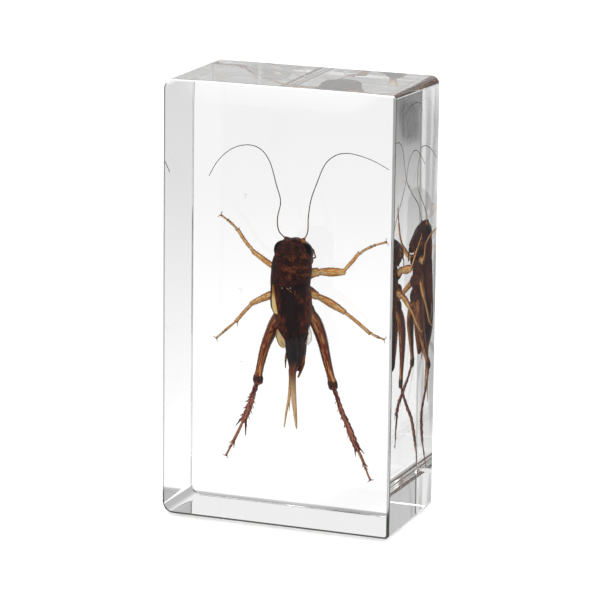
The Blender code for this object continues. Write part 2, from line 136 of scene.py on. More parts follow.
# How many sides each kind of limb has, and the steps between its stations (0 where they already lie close).
# An eye or a bubble has that many rings instead.
DETAIL = {
    "head": (32, 6), "palp": (12, 5), "socket": (16, 3), "shield": (64, 5), "chest": (32, 6), "hip": (20, 5),
    "abdomen": (48, 0), "feeler": (14, 6), "folded": (120, 8), "tail": (60, 8), "lobe": (40, 8),
    "thigh": (24, 7), "shin": (18, 0), "foot": (14, 0), "claw": (10, 4), "eye": (32, 24), "bubble": (14, 10),
}
# How many folds run along a limb, and how deep they are as a share of its radius.
FOLDS = {"folded": (11, 0.09), "tail": (5, 0.16)}
# Threads: the radius, how much it thins, the length of its rings, and how much every other ring swells.
THREADS = {"vein": (0.06, 0.3, 0.2, 0.0), "scratch": (0.06, 0.5, 0.1, 0.0), "lint": (0.03, 0.3, 0.08, 0.0)}
THREAD_SIDES = 8
# Steps between the stations of shins, feet, long routes and the curls of lint, and where a ball's poles end.
SHIN_STEPS = 14
FOOT_STEPS = 12
ROUTE_STEPS = 8
CURL_STEPS = 6
POLE_TURN = 88.0
# The grain and the smoothing rounds of the pieces that are melted into one skin.
HEAD_MELT = (0.09, 6)
CHEST_MELT = (0.1, 5)

# Stations: x, y and z of the middle, and the half width and half height, or one radius where they are equal.
# The head runs from the crown at the front to the mouth at the back, and the trunk from head to tail.
HEAD = (
    (0.1, -0.6, 43.7, 1.3, 1.1), (0.05, 0.3, 44.1, 2.55, 2.0), (-0.05, 1.8, 44.3, 3.25, 2.5),
    (-0.1, 3.8, 44.4, 3.22, 2.3), (-0.1, 5.8, 44.1, 2.4, 1.8), (-0.2, 7.4, 43.9, 1.5, 1.2),
    (-0.2, 8.4, 43.8, 0.9, 0.7),
)
FOREHEAD = ((0.5, 1.0, 46.1, 1.1, 0.8), (0.4, 2.4, 46.5, 1.0, 0.5), (0.2, 3.8, 46.2, 0.9, 0.6))
LIP = ((-0.2, 6.6, 44.9, 1.3, 0.35), (-0.2, 7.7, 44.4, 1.2, 0.3), (-0.2, 8.7, 43.9, 0.8, 0.25))
MANDIBLE = ((0.55, 7.0, 43.3, 0.75, 0.8), (0.45, 8.3, 43.1, 0.5, 0.6), (0.1, 9.0, 43.2, 0.2, 0.3))
CHEEK = ((2.0, 3.6, 43.4, 0.9, 1.2), (1.9, 5.0, 43.0, 0.9, 1.0), (1.4, 6.6, 42.9, 0.6, 0.7))
EYES = ((-1.84, 2.0, 44.72), (1.84, 2.2, 44.75))
EYE_RADII = ((1.55, 1.88, 1.62), (1.38, 1.75, 1.52))
PALPS = (
    ((0.9, 7.2, 43.4, 0.25), (1.6, 8.0, 42.4, 0.2), (1.5, 8.2, 41.2, 0.25)),
    ((-1.3, 7.2, 43.4, 0.25), (-2.0, 8.0, 42.4, 0.2), (-1.8, 8.2, 41.2, 0.25)),
    (
        (2.0, 5.2, 44.6, 0.16), (2.65, 5.4, 44.8, 0.12), (2.9, 5.4, 44.1, 0.12), (3.05, 5.4, 43.5, 0.13),
        (2.5, 5.4, 43.3, 0.12),
    ),
)
PRONOTUM = (
    (-0.05, 2.1, 43.9, 2.6, 2.7), (-0.05, 2.1, 43.75, 3.0, 3.1), (-0.1, 2.1, 43.3, 3.25, 3.35),
    (-0.2, 2.1, 42.6, 3.4, 3.5), (-0.3, 2.1, 41.8, 3.47, 3.58), (-0.42, 2.1, 40.4, 3.45, 3.6),
    (-0.5, 2.1, 39.4, 3.42, 3.58), (-0.5, 2.15, 38.8, 3.4, 3.55), (-0.5, 2.2, 38.4, 3.3, 3.45),
)
THORAX = (
    (-0.4, 3.2, 40.5, 2.6, 3.0), (-0.4, 3.4, 38.4, 2.7, 3.2), (-0.3, 3.3, 36.4, 2.7, 3.4),
    (-0.1, 3.2, 34.6, 2.6, 3.4),
)
ABDOMEN = (
    (0.0, 3.1, 35.2, 2.6, 3.4), (0.3, 3.1, 32.0, 2.2, 3.3), (0.45, 3.2, 29.0, 1.6, 2.9),
    (0.6, 3.5, 27.0, 1.25, 2.2), (0.75, 4.0, 25.3, 0.75, 1.2), (0.8, 4.2, 24.6, 0.45, 0.7),
)
SEGMENT_STEP = 0.16
# The rings of one segment: how far along it each is, and how far out as a share of the step.
SEGMENT_RINGS = ((0.0, -0.5), (0.06, 0.0), (0.4, 0.5), (0.78, 1.0), (0.9, 1.0), (0.96, 0.6))

# The hips that the legs spring from, each from the middle of the underside to the thigh.
HIPS = {
    "fore_left": ((-0.9, 5.6, 40.2, 1.0, 0.9), (-2.2, 5.9, 40.5, 0.9, 0.8), (-3.2, 5.6, 40.9, 0.6)),
    "fore_right": ((0.5, 5.6, 40.2, 1.0, 0.9), (1.8, 5.9, 40.5, 0.9, 0.8), (3.0, 5.7, 40.9, 0.6)),
    "mid_left": ((-0.9, 6.0, 37.3, 1.1, 0.9), (-2.2, 5.9, 37.2, 1.0, 0.9), (-3.4, 5.1, 36.9, 0.7)),
    "mid_right": ((0.5, 6.0, 37.6, 1.1, 0.9), (1.7, 6.2, 37.6, 1.0, 0.9), (2.9, 5.8, 37.3, 0.7)),
    "hind_left": ((-0.7, 6.0, 34.8, 1.2), (-1.7, 5.7, 34.8, 1.2, 1.3), (-2.6, 5.0, 34.1, 0.9, 1.2)),
    "hind_right": ((0.5, 6.0, 34.8, 1.2), (1.5, 5.9, 34.8, 1.2, 1.3), (2.3, 5.4, 34.1, 0.9, 1.2)),
}

# Legs, from the hip to the toe: x, y, z, radius across and radius in depth.
LEGS = {
    "fore_left": {
        "trochanter": ((-2.5, 5.0, 40.8, 0.7, 0.8), (-3.5, 5.4, 41.05, 0.62, 0.7)),
        "femur": (
            (-3.3, 5.35, 41.0, 0.42, 0.5), (-4.7, 5.9, 41.4, 0.48, 0.55), (-6.6, 6.4, 42.4, 0.45, 0.55),
            (-8.2, 6.7, 43.3, 0.4),
        ),
        "tibia": ((-8.0, 6.7, 43.2, 0.3), (-9.6, 6.7, 44.9, 0.3), (-10.9, 6.4, 46.8, 0.3)),
        "tarsus": ((-10.8, 6.4, 46.7, 0.2), (-12.2, 5.8, 48.1, 0.2), (-13.6, 5.0, 49.2, 0.15)),
    },
    "fore_right": {
        "trochanter": ((2.3, 5.2, 40.8, 0.75, 0.85), (3.35, 5.75, 41.05, 0.74, 0.8)),
        "femur": (
            (3.2, 5.7, 41.05, 0.42, 0.5), (4.2, 6.1, 41.1, 0.6), (5.6, 6.8, 41.1, 0.75, 0.7),
            (7.6, 7.6, 41.2, 0.5),
        ),
        "tibia": ((7.4, 7.5, 41.2, 0.3), (8.8, 8.0, 42.9, 0.3), (9.9, 8.5, 44.4, 0.3)),
        "tarsus": ((9.8, 8.5, 44.3, 0.2), (12.2, 8.0, 45.8, 0.2), (15.1, 6.6, 47.0, 0.15)),
    },
    "mid_left": {
        "trochanter": ((-2.6, 4.4, 36.9, 0.75, 0.85), (-3.6, 4.7, 36.75, 0.7, 0.75)),
        "femur": (
            (-3.4, 4.65, 36.8, 0.55, 0.6), (-4.6, 5.0, 36.5, 0.68, 0.7), (-6.6, 6.4, 35.5, 0.55),
            (-8.6, 7.4, 34.4, 0.4),
        ),
        "tibia": ((-8.4, 7.3, 34.5, 0.3), (-10.0, 7.9, 32.8, 0.3), (-11.5, 8.2, 31.0, 0.3)),
        "tarsus": ((-11.4, 8.2, 31.1, 0.2), (-13.4, 8.2, 29.3, 0.2), (-15.0, 8.0, 27.8, 0.15)),
    },
    "mid_right": {
        "trochanter": ((2.1, 5.1, 37.5, 0.75, 0.85), (3.3, 5.6, 37.1, 0.7, 0.75)),
        "femur": (
            (3.1, 5.5, 37.2, 0.42, 0.5), (4.3, 6.0, 36.6, 0.58, 0.6), (5.8, 6.5, 35.8, 0.68, 0.66),
            (7.9, 7.0, 34.6, 0.45),
        ),
        "tibia": ((7.7, 7.0, 34.7, 0.3), (10.1, 7.4, 33.0, 0.3), (12.2, 7.8, 31.3, 0.3)),
        "tarsus": ((12.1, 7.8, 31.4, 0.2), (13.6, 7.9, 30.8, 0.2), (14.7, 7.9, 30.5, 0.15)),
    },
    "hind_left": {
        "femur": (
            (-1.9, 4.4, 34.8, 0.9, 1.2), (-3.5, 4.9, 32.4, 1.0, 1.6), (-4.4, 4.8, 30.4, 0.95, 1.6),
            (-5.2, 4.0, 28.1, 0.8, 1.3), (-5.7, 3.2, 25.6, 0.7, 0.9), (-6.0, 2.6, 23.6, 0.65, 0.7),
            (-6.1, 2.45, 22.7, 0.88, 0.82), (-6.1, 2.4, 22.0, 0.85, 0.8),
        ),
        "tibia": (
            (-6.1, 2.4, 22.3, 0.45), (-7.2, 3.7, 19.8, 0.42), (-7.9, 5.0, 18.3, 0.5, 0.45),
            (-9.0, 6.7, 16.0, 0.52, 0.5), (-9.8, 7.0, 14.3, 0.5),
        ),
        "tarsus": (
            (-9.7, 7.0, 14.5, 0.25), (-10.8, 6.5, 11.9, 0.25), (-11.8, 5.9, 9.7, 0.2),
            (-12.5, 5.6, 8.2, 0.15),
        ),
    },
    "hind_right": {
        "femur": (
            (1.6, 4.6, 34.8, 0.9, 1.2), (2.9, 5.8, 33.0, 1.0, 1.6), (3.8, 6.1, 31.0, 0.95, 1.6),
            (4.6, 5.8, 28.8, 0.82, 1.4), (5.4, 5.2, 26.2, 0.72, 1.0), (6.3, 4.3, 23.9, 0.65, 0.75),
            (6.7, 3.85, 22.9, 0.84, 0.8), (6.9, 3.7, 22.2, 0.8, 0.78),
        ),
        "tibia": (
            (6.8, 3.7, 22.5, 0.42), (7.4, 4.6, 20.4, 0.37), (7.8, 6.2, 18.0, 0.43),
            (8.4, 7.9, 15.7, 0.48, 0.45), (9.3, 8.6, 13.2, 0.58, 0.5), (10.2, 8.8, 11.2, 0.46),
        ),
        "tarsus": (
            (10.1, 8.8, 11.4, 0.3), (11.0, 8.8, 9.7, 0.25), (11.7, 8.6, 8.1, 0.2), (12.6, 8.4, 6.3, 0.15),
        ),
    },
}
# Where each hind leg's dark shin begins and ends.
SHINS = {"hind_left": (22.6, 14.2), "hind_right": (22.8, 11.2)}
# How much a hind shin swells where its spines sit, and how fast, in turns for each ring.
SHIN_RIPPLE = 0.12
SHIN_BEAT = 0.9
# A foot has three joints, which end at these shares of its length.
FOOT_JOINTS = (0.0, 0.52, 0.66, 1.0)
CLAW_LENGTH = 0.6
CLAW_RADIUS = 0.09
CLAW_PLACE = 0.98
# A claw's stations: how far along the foot, how far to the side, and the share of its radius.
CLAW = ((-0.1, 0.0, 1.0), (0.3, 0.45, 0.8), (0.45, 0.85, 0.5), (0.3, 1.05, 0.25))
# The swell of each joint of the foot, from its start to its end.
JOINT_SWELL = (0.8, 1.15)

# Spines and spurs: the share of the limb's length, how far the spine leans along the limb, across it (to the
# right on a leg that points down, as seen from the front) and towards the back, its length and its radius.
SPINES = {
    "fore_left": {"tibia": ((0.97, 0.9, 0.5, 0.0, 0.6, 0.1), (0.97, 0.9, -0.4, 0.3, 0.5, 0.1))},
    "fore_right": {"tibia": ((0.97, 0.9, -0.5, 0.0, 0.6, 0.1), (0.97, 0.9, 0.4, 0.3, 0.5, 0.1))},
    "mid_left": {"tibia": ((0.97, 0.7, 0.5, 0.0, 0.9, 0.12), (0.97, 0.9, -0.4, 0.3, 0.5, 0.1))},
    "mid_right": {"tibia": ((0.97, 0.9, 0.5, 0.0, 0.6, 0.1), (0.97, 0.9, -0.4, 0.3, 0.5, 0.1))},
    "hind_left": {
        "tibia": (
            (0.3, 0.8, -0.6, 0.0, 0.6, 0.16), (0.42, 0.8, -0.6, 0.0, 0.8, 0.17),
            (0.54, 0.8, -0.65, 0.0, 0.9, 0.18), (0.68, 0.8, -0.6, 0.1, 0.9, 0.18),
            (0.84, 0.8, -0.6, 0.1, 0.9, 0.18), (0.46, 0.7, 0.7, -0.2, 0.8, 0.12),
            (0.57, 0.7, 0.7, -0.2, 0.9, 0.12), (0.68, 0.7, 0.7, -0.2, 0.9, 0.13),
            (0.8, 0.7, 0.7, -0.2, 0.9, 0.13), (0.95, 0.9, -0.22, 0.0, 1.9, 0.2),
            (0.95, 0.8, -0.5, 0.3, 1.0, 0.16), (0.95, 0.9, 0.4, 0.0, 2.7, 0.24),
            (0.95, 0.9, 0.75, -0.2, 1.1, 0.16),
        ),
        "tarsus": (
            (0.5, 0.9, -0.5, 0.0, 0.8, 0.13), (0.5, 0.9, 0.4, 0.0, 1.1, 0.16),
            (0.65, 0.8, -0.4, 0.0, 0.5, 0.1),
        ),
    },
    "hind_right": {
        "tibia": (
            (0.25, 0.8, -0.6, 0.0, 0.9, 0.12), (0.37, 0.8, -0.6, 0.0, 0.9, 0.12),
            (0.49, 0.8, -0.6, 0.0, 0.9, 0.13), (0.61, 0.8, -0.6, 0.0, 0.9, 0.13),
            (0.74, 0.8, -0.6, 0.0, 0.8, 0.13), (0.35, 0.9, 0.4, -0.2, 0.7, 0.16),
            (0.5, 0.9, 0.4, -0.2, 0.8, 0.18), (0.63, 0.9, 0.4, -0.2, 0.8, 0.18),
            (0.76, 0.9, 0.4, -0.2, 0.8, 0.18), (0.88, 0.9, 0.4, -0.2, 0.8, 0.18),
            (0.96, 0.95, -0.35, 0.0, 1.5, 0.18), (0.96, 0.95, 0.3, 0.0, 1.5, 0.18),
        ),
        "tarsus": (
            (0.5, 0.9, 0.5, 0.0, 0.8, 0.15), (0.5, 0.9, -0.5, 0.0, 0.6, 0.13),
            (0.65, 0.8, 0.5, 0.0, 0.5, 0.12),
        ),
    },
}

# How far from a limb's middle its spines are seated, as a share of its radius.
SPINE_SEAT = 0.7
# How many sides a spine has, and how blunt its tip is as a share of its radius.
SPINE_SIDES, SPINE_BLUNT = 8, 0.3

# Two bubbles painted white as bright glints, a light scratch on the wings, and three curls of lint in the
# resin, by their points.
BUBBLES = ((-1.03, -1.75, 38.86), (0.44, -1.85, 39.03))
BUBBLE_RADIUS = 0.085
SCRATCH = ((-0.2, -1.8, 38.97), (0.2, -1.85, 38.7), (0.67, -1.9, 38.3))
LINT = (
    ((-8.3, 0.0, 53.6), (-8.0, 0.2, 53.7), (-7.9, 0.1, 53.3), (-8.2, 0.0, 53.1)),
    ((-9.0, 0.0, 37.8), (-8.7, 0.2, 37.9), (-8.6, 0.1, 37.5), (-8.8, 0.0, 37.3)),
    ((-8.8, 0.0, 25.5), (-8.5, 0.2, 25.6), (-8.4, 0.1, 25.2), (-8.7, 0.0, 25.0)),
)

# Forewing stations: z, the inner and the outer edge's x, the y of the part over the back, and how far the
# side field hangs down the flank.
FOREWING_LEFT = (
    (39.6, 0.6, -3.55, -1.1, 3.0), (38.4, 0.9, -3.8, -1.35, 4.2), (36.5, 1.0, -3.85, -1.5, 4.6),
    (35.2, 0.9, -3.7, -1.5, 4.4), (34.2, 0.8, -3.1, -1.5, 3.8), (33.0, 0.7, -2.65, -1.5, 3.2),
    (32.0, 0.5, -2.3, -1.55, 2.8), (31.0, 0.5, -1.5, -1.6, 2.0), (30.0, 0.6, -0.6, -1.45, 1.2),
    (29.2, 0.8, 0.1, -1.15, 0.5),
)
FOREWING_RIGHT = (
    (39.6, -0.8, 2.75, -1.3, 3.2), (38.4, -0.9, 2.87, -1.5, 4.4), (36.5, -0.9, 3.05, -1.7, 4.8),
    (35.0, -0.8, 3.2, -1.75, 4.6), (34.0, -0.6, 3.2, -1.75, 4.2), (33.0, -0.4, 3.15, -1.8, 3.6),
    (32.0, -0.1, 3.05, -1.8, 3.0), (31.0, 0.1, 2.7, -1.8, 2.2), (30.0, 0.4, 2.25, -1.6, 1.2),
    (29.2, 0.8, 1.8, -1.2, 0.5),
)
WING_BEND = 3.0
WING_THICK = 0.12
WING_STEPS = 8
WING_SIDES = 30
# The columns of the wing that its long veins follow, and the start, the step and the length of the others.
VEIN_COLUMNS = (6, 11, 15, 18, 21, 24, 27)
VEIN_START, VEIN_STEP, VEIN_LENGTH = 4, 5, 13
FOLDED_HINDWINGS = (
    (0.4, -0.4, 33.0, 1.9, 0.9), (0.95, -0.7, 30.4, 1.55, 1.05), (1.05, -0.55, 28.6, 1.5, 1.1),
    (1.0, -0.3, 27.0, 1.3, 1.0), (0.75, -0.1, 25.6, 0.8), (0.52, 0.0, 24.2, 0.5, 0.55),
    (0.5, 0.0, 22.6, 0.42, 0.4), (0.55, 0.0, 21.4, 0.3),
)
LOBE_LEFT = (
    (-1.5, 0.7, 32.0, 0.6, 0.2), (-1.55, 0.7, 31.0, 1.1, 0.14), (-1.35, 0.7, 30.1, 1.2, 0.12),
    (-1.05, 0.6, 29.3, 1.05, 0.12), (-0.75, 0.6, 28.75, 0.65, 0.12),
)
LOBE_RIGHT = (
    (3.2, 0.3, 32.4, 0.25, 0.1), (3.45, 0.3, 31.4, 0.35, 0.08), (3.35, 0.3, 30.4, 0.42, 0.08),
    (2.9, 0.3, 29.6, 0.3, 0.08),
)
TAILS = (
    (
        (0.25, 0.1, 25.0, 0.4), (0.25, 0.1, 23.2, 0.33), (0.1, 0.1, 21.4, 0.28, 0.3),
        (-0.1, 0.1, 20.0, 0.23, 0.25), (-0.42, 0.1, 18.2, 0.18, 0.2), (-0.75, 0.1, 15.8, 0.12),
        (-0.85, 0.1, 15.1, 0.07),
    ),
    (
        (0.75, -0.1, 25.0, 0.4), (0.78, -0.1, 23.2, 0.36, 0.35), (0.78, -0.1, 21.4, 0.42, 0.32),
        (0.85, -0.1, 20.0, 0.42, 0.28), (1.05, -0.1, 18.2, 0.34, 0.22), (1.32, -0.1, 15.9, 0.2, 0.12),
        (1.42, -0.1, 15.1, 0.08),
    ),
    ((0.25, 0.0, 22.0, 0.12), (0.1, 0.0, 19.8, 0.12, 0.1), (0.0, 0.0, 17.9, 0.05)),
)
CERCI = (
    ((-0.9, 2.4, 28.0, 0.25), (-1.15, 2.1, 26.6, 0.2), (-1.17, 2.0, 24.9, 0.08)),
    (
        (1.75, 2.7, 27.2, 0.3, 0.35), (1.7, 2.9, 26.0, 0.36, 0.35), (1.35, 3.0, 24.7, 0.27, 0.25),
        (0.85, 3.0, 23.4, 0.15),
    ),
)

# How long a bristle is, and its radius at the root.
BRISTLE = (0.35, 0.02)
BRISTLE_SIDES = 3

# Each antenna springs from between the eyes, bends back and arches outwards near the block's back face.
# Its first joint and the socket that it turns in: how far along each ring is, and its radius.
ANTENNA_JOINT = ((-0.6, 0.3), (0.35, 0.3))
SOCKET = ((-0.8, 0.75), (-0.3, 0.7), (0.12, 0.45))
ANTENNAE = (
    (
        (-1.3, 2.4, 46.5), (-2.6, 2.1, 47.8), (-3.1, 3.0, 49.8), (-3.3, 6.0, 52.2), (-4.5, 7.8, 54.7),
        (-5.8, 8.2, 58.4), (-7.5, 8.2, 60.4), (-9.8, 8.2, 60.9), (-12.6, 8.2, 60.0), (-15.0, 8.2, 57.8),
        (-16.5, 8.0, 55.2),
    ),
    (
        (1.6, 2.3, 46.5), (2.3, 2.6, 48.0), (2.0, 4.3, 50.3), (1.9, 6.6, 52.9), (2.6, 7.7, 55.5),
        (3.9, 8.0, 58.7), (5.6, 8.4, 60.3), (7.5, 8.5, 60.8), (9.6, 8.1, 60.7), (12.4, 7.8, 60.0),
        (15.1, 7.6, 58.8),
    ),
)

# How much an antenna thins, the length of its rings, and how much every other ring swells.
ANTENNA_RINGS = (0.45, 0.14, 0.12)

# Ovals where the shell is warmer, as seen from the front: the middle's x and z, and the radii.
HEAD_WARM = (((2.3, 43.9), (0.6, 0.8)), ((-2.3, 44.1), (0.5, 0.5)), ((0.4, 43.9), (0.7, 0.6)))
SHIELD_WARM = (
    ((0.0, 42.0), (1.4, 0.5)), ((2.0, 42.4), (1.3, 0.3)), ((2.6, 41.2), (0.6, 0.4)),
    ((0.2, 40.9), (0.3, 0.6)),
)
CHEST_WARM = (((2.0, 38.0), (1.5, 2.0)), ((-2.0, 38.0), (1.5, 2.0)))
WING_WARM = (
    ((1.2, 38.2), (0.25, 0.4)), ((1.6, 37.6), (0.3, 0.5)), ((2.05, 36.9), (0.4, 0.5)),
    ((-2.0, 35.0), (0.7, 3.5)), ((-1.1, 32.9), (0.7, 1.4)), ((-0.4, 31.3), (0.5, 1.0)),
    ((2.6, 32.5), (0.5, 1.5)), ((3.1, 36.5), (0.45, 4.0)),
)
# The left forewing's pale strip: from and to which z, its slope and x at the top, and the share of the wing's
# width at which it folds over.
STRIP = (34.1, 39.3, 0.2, -2.82, 0.56)


class Value:
    """A socket of a node tree that can be used in an expression: each operator adds a Math node."""

    def __init__(self, nodes, socket):
        self.nodes = nodes
        self.socket = socket

    def __add__(self, other):
        return self.nodes.math("ADD", self, other)

    def __radd__(self, other):
        return self.nodes.math("ADD", other, self)

    def __sub__(self, other):
        return self.nodes.math("SUBTRACT", self, other)

    def __rsub__(self, other):
        return self.nodes.math("SUBTRACT", other, self)

    def __mul__(self, other):
        return self.nodes.math("MULTIPLY", self, other)

    def __rmul__(self, other):
        return self.nodes.math("MULTIPLY", other, self)

    def __truediv__(self, other):
        return self.nodes.math("DIVIDE", self, other)


class Nodes:
    """Adds nodes to one shader or geometry tree."""

    def __init__(self, tree):
        self.tree = tree

    def add(self, kind, sockets=None, out=0, **settings):
        """Adds a node, with its settings first and then its sockets' values or links. Gives one output."""
        node = self.tree.nodes.new(kind)
        for name, value in settings.items():
            setattr(node, name, value)
        for name, value in (sockets or {}).items():
            self.fill(node.inputs[name], value)
        return Value(self, node.outputs[out])

    def fill(self, socket, value):
        """Gives a socket its value or its link."""
        if isinstance(value, Value):
            self.tree.links.new(value.socket, socket)
        else:
            socket.default_value = value

    def math(self, operation, *values):
        return self.add("ShaderNodeMath", dict(enumerate(values)), operation=operation)

    def absolute(self, value):
        return self.math("ABSOLUTE", value)

    def larger(self, first, second):
        return self.math("MAXIMUM", first, second)

    def distance(self, x, y):
        return self.math("SQRT", x * x + y * y)

    def clamp(self, value):
        return self.add("ShaderNodeClamp", {"Value": value})

    def step(self, value, low, high):
        """Rises smoothly from 0 at low to 1 at high."""
        sockets = {"Value": value, "From Min": low, "From Max": high}
        return self.add("ShaderNodeMapRange", sockets, interpolation_type="SMOOTHSTEP")

    def mix(self, first, second, share):
        """Blends two colours, which are links or three numbers: share 0 gives the first."""
        first, second = (value if isinstance(value, Value) else (*value, 1.0) for value in (first, second))
        return self.add("ShaderNodeMix", {0: share, 6: first, 7: second}, 2, data_type="RGBA")

    def parts(self, vector):
        """A vector's three parts."""
        node = self.add("ShaderNodeSeparateXYZ", {"Vector": vector}).socket.node
        return [Value(self, socket) for socket in node.outputs]

    def vector(self, x, y, z):
        return self.add("ShaderNodeCombineXYZ", {"X": x, "Y": y, "Z": z})

    def stretch(self, vector, scale):
        """The vector with each part times its own scale."""
        return self.add("ShaderNodeVectorMath", {0: vector, 1: scale}, operation="MULTIPLY")

    def kept(self, name, out="Fac"):
        """What a mesh keeps for each point, as a shader reads it: a number, or with out a vector."""
        return self.add("ShaderNodeAttribute", out=out, attribute_name=name)

    def named(self, name, kind="FLOAT"):
        """What a mesh keeps for each point, as Geometry Nodes read it."""
        return self.add("GeometryNodeInputNamedAttribute", {"Name": name}, data_type=kind)

    def limb(self):
        """The place on a limb that a Shape keeps: the two ways across it, and along it."""
        return self.parts(self.kept("place", "Vector"))

    def noise(self, vector, scale, detail=3.0, roughness=0.6, distortion=0.0):
        sockets = {"Vector": vector, "Scale": scale, "Detail": detail, "Roughness": roughness}
        return self.add("ShaderNodeTexNoise", sockets | {"Distortion": distortion})

    def bump(self, height, distance=0.05):
        """A normal that follows a height, whose unit is distance in millimetres."""
        sockets = {"Height": height, "Distance": distance * MM, "Strength": 0.5}
        return self.add("ShaderNodeBump", sockets)


class Look(Nodes):
    """A new material in the making."""

    def __init__(self, name):
        self.material = bpy.data.materials.new(name)
        self.material.use_nodes = True
        super().__init__(self.material.node_tree)

    @cached_property
    def here(self):
        """The place on the object, in millimetres."""
        return self.stretch(self.add("ShaderNodeTexCoord", out="Object"), (1 / MM, 1 / MM, 1 / MM))

    @cached_property
    def place(self):
        """Its three parts, which x, y and z give one by one."""
        return self.parts(self.here)

    x = property(lambda self: self.place[0])
    y = property(lambda self: self.place[1])
    z = property(lambda self: self.place[2])

    def done(self, tone, roughness, shine, **sockets):
        """Ends a material with its colour, roughness and gloss, and other sockets such as alpha."""
        shader = self.tree.nodes["Principled BSDF"]
        sockets |= {"base_color": tone, "roughness": roughness, "specular_ior_level": shine}
        for name, value in sockets.items():
            self.fill(shader.inputs[name.replace("_", " ").title().replace("Ior", "IOR")], value)
        return self.material

    def glow(self, level):
        """Makes it a material that only glows, as a grey of this brightness."""
        self.material.cycles.emission_sampling = "NONE"
        grey = self.add("ShaderNodeCombineColor", {"Red": level, "Green": level, "Blue": level})
        return self.done((0.0, 0.0, 0.0, 1.0), 0.5, 0.0, emission_color=grey, emission_strength=1.0)


def unit(vector):
    """The vector at length one."""
    return vector / np.linalg.norm(vector)


def ring_faces(count, sides, first=0, closed=True):
    """Faces that join rings of points. If closed, they go all the way round and fill both ends."""
    faces = []
    last = first + (count - 1) * sides
    for near in range(first, last, sides):
        for side in range(sides if closed else sides - 1):
            after = (side + 1) % sides
            faces.append((near + side, near + sides + side, near + sides + after, near + after))
    if closed:
        faces.append(tuple(range(first, first + sides)))
        faces.append(tuple(range(last + sides - 1, last - 1, -1)))
    return faces


def dome(row, sign):
    """Rings that close a limb beyond this last one: the middle, the radii, the way and the distance along."""
    turns = np.radians(DOME_TURNS)
    height = DOME_SHARE * min(row[3:5])
    rings = np.repeat(row[None], len(turns), axis=0)
    rings[:, :3] += np.outer(np.sin(turns), row[5:8]) * height * sign
    rings[:, 3:5] = np.outer(np.cos(turns), row[3:5])
    rings[:, 8] += np.sin(turns) * height * sign
    return rings


class Shape:
    """A mesh in the making, in millimetres.

    Each point keeps its place on its limb, as the cosine and sine of the angle around it and the distance
    along it, how far the nearer end of the limb is, and which way the limb runs there.
    """

    def __init__(self):
        self.points, self.places, self.ends, self.ways, self.faces = [], [], [], [], []

    def skin(self, rings, places, ends, ways, closed=True):
        """Joins rings of points into a surface."""
        count, sides = rings.shape[:2]
        self.faces += ring_faces(count, sides, len(self.points), closed)
        self.points += list(rings.reshape(-1, 3))
        self.places += list(places.reshape(-1, 3))
        self.ends += list(np.repeat(ends, sides))
        self.ways += list(np.repeat(ways, sides, axis=0))

    def loft(self, stations, kind, deep=DEPTH_WAY):
        """Adds a closed limb through the stations, with oval sections and domed ends."""
        sides, steps = DETAIL[kind]
        folds, fold_depth = FOLDS.get(kind, (0, 0.0))
        rows = through(stations, steps) if steps else np.array(stations, float)
        ways = np.gradient(rows[:, :3], axis=0)
        ways /= np.linalg.norm(ways, axis=1)[:, None]
        along = np.concatenate([[0.0], np.cumsum(np.linalg.norm(np.diff(rows[:, :3], axis=0), axis=1))])
        table = np.hstack([rows[:, :5], ways, along[:, None]])
        table = np.vstack([dome(table[0], -1)[::-1], table, dome(table[-1], 1)])
        middles, radii, ways, along = table[:, :3], table[:, 3:5], table[:, 5:8], table[:, 8]
        depth = np.array(deep) - ways * (ways @ np.array(deep))[:, None]
        depth /= np.linalg.norm(depth, axis=1)[:, None]
        across = np.cross(ways, depth)
        angles = 2 * math.pi * (np.arange(sides) + 0.5) / sides
        swell = 1 + fold_depth * np.cos(folds * angles)
        wide = np.outer(radii[:, 0], np.cos(angles) * swell)
        high = np.outer(radii[:, 1], np.sin(angles) * swell)
        rings = middles[:, None] + across[:, None] * wide[:, :, None] + depth[:, None] * high[:, :, None]
        places = np.empty(rings.shape)
        places[:, :, 0] = np.cos(angles)
        places[:, :, 1] = np.sin(angles)
        places[:, :, 2] = along[:, None]
        self.skin(rings, places, np.minimum(along - along[0], along[-1] - along), ways)

    def ball(self, middle, radii, kind):
        """Adds a closed oval."""
        sides, rings = DETAIL[kind]
        turns = np.radians(np.linspace(-POLE_TURN, POLE_TURN, rings))
        angles = 2 * math.pi * np.arange(sides) / sides
        x, y = np.outer(np.cos(turns), np.cos(angles)), np.outer(np.cos(turns), np.sin(angles))
        round_rings = np.stack([x, y, np.repeat(np.sin(turns)[:, None], sides, axis=1)], axis=2)
        flat = np.zeros((rings, 3))
        self.skin(np.array(middle) + round_rings * np.array(radii), round_rings, flat[:, 0], flat)

    def finish(self, name, *looks):
        """The shape as an object in the scene, in metres, with its faces outwards."""
        mesh = mesh_of(name, self.points, faces=self.faces)
        keep(mesh, "place", self.places)
        keep(mesh, "way", self.ways)
        keep(mesh, "end", self.ends)
        shape = bmesh.new()
        shape.from_mesh(mesh)
        bmesh.ops.recalc_face_normals(shape, faces=shape.faces)
        shape.to_mesh(mesh)
        shape.free()
        return place_mesh(name, mesh, *looks)


def limbs(name, look, tables, kind):
    """A piece that has a limb through each table of stations."""
    shape = Shape()
    for stations in tables:
        shape.loft(stations, kind)
    return shape.finish(name, look)


def mesh_of(name, points, edges=(), faces=()):
    """A mesh from points in millimetres."""
    mesh = bpy.data.meshes.new(name)
    mesh.from_pydata([tuple(np.array(point) * MM) for point in points], edges, faces)
    return mesh


def keep(mesh, label, values):
    """Keeps a number or a vector for each point of a mesh."""
    values = np.array(values, np.float32)
    kind, field = ("FLOAT_VECTOR", "vector") if values.ndim > 1 else ("FLOAT", "value")
    mesh.attributes.new(label, kind, "POINT").data.foreach_set(field, values.ravel())


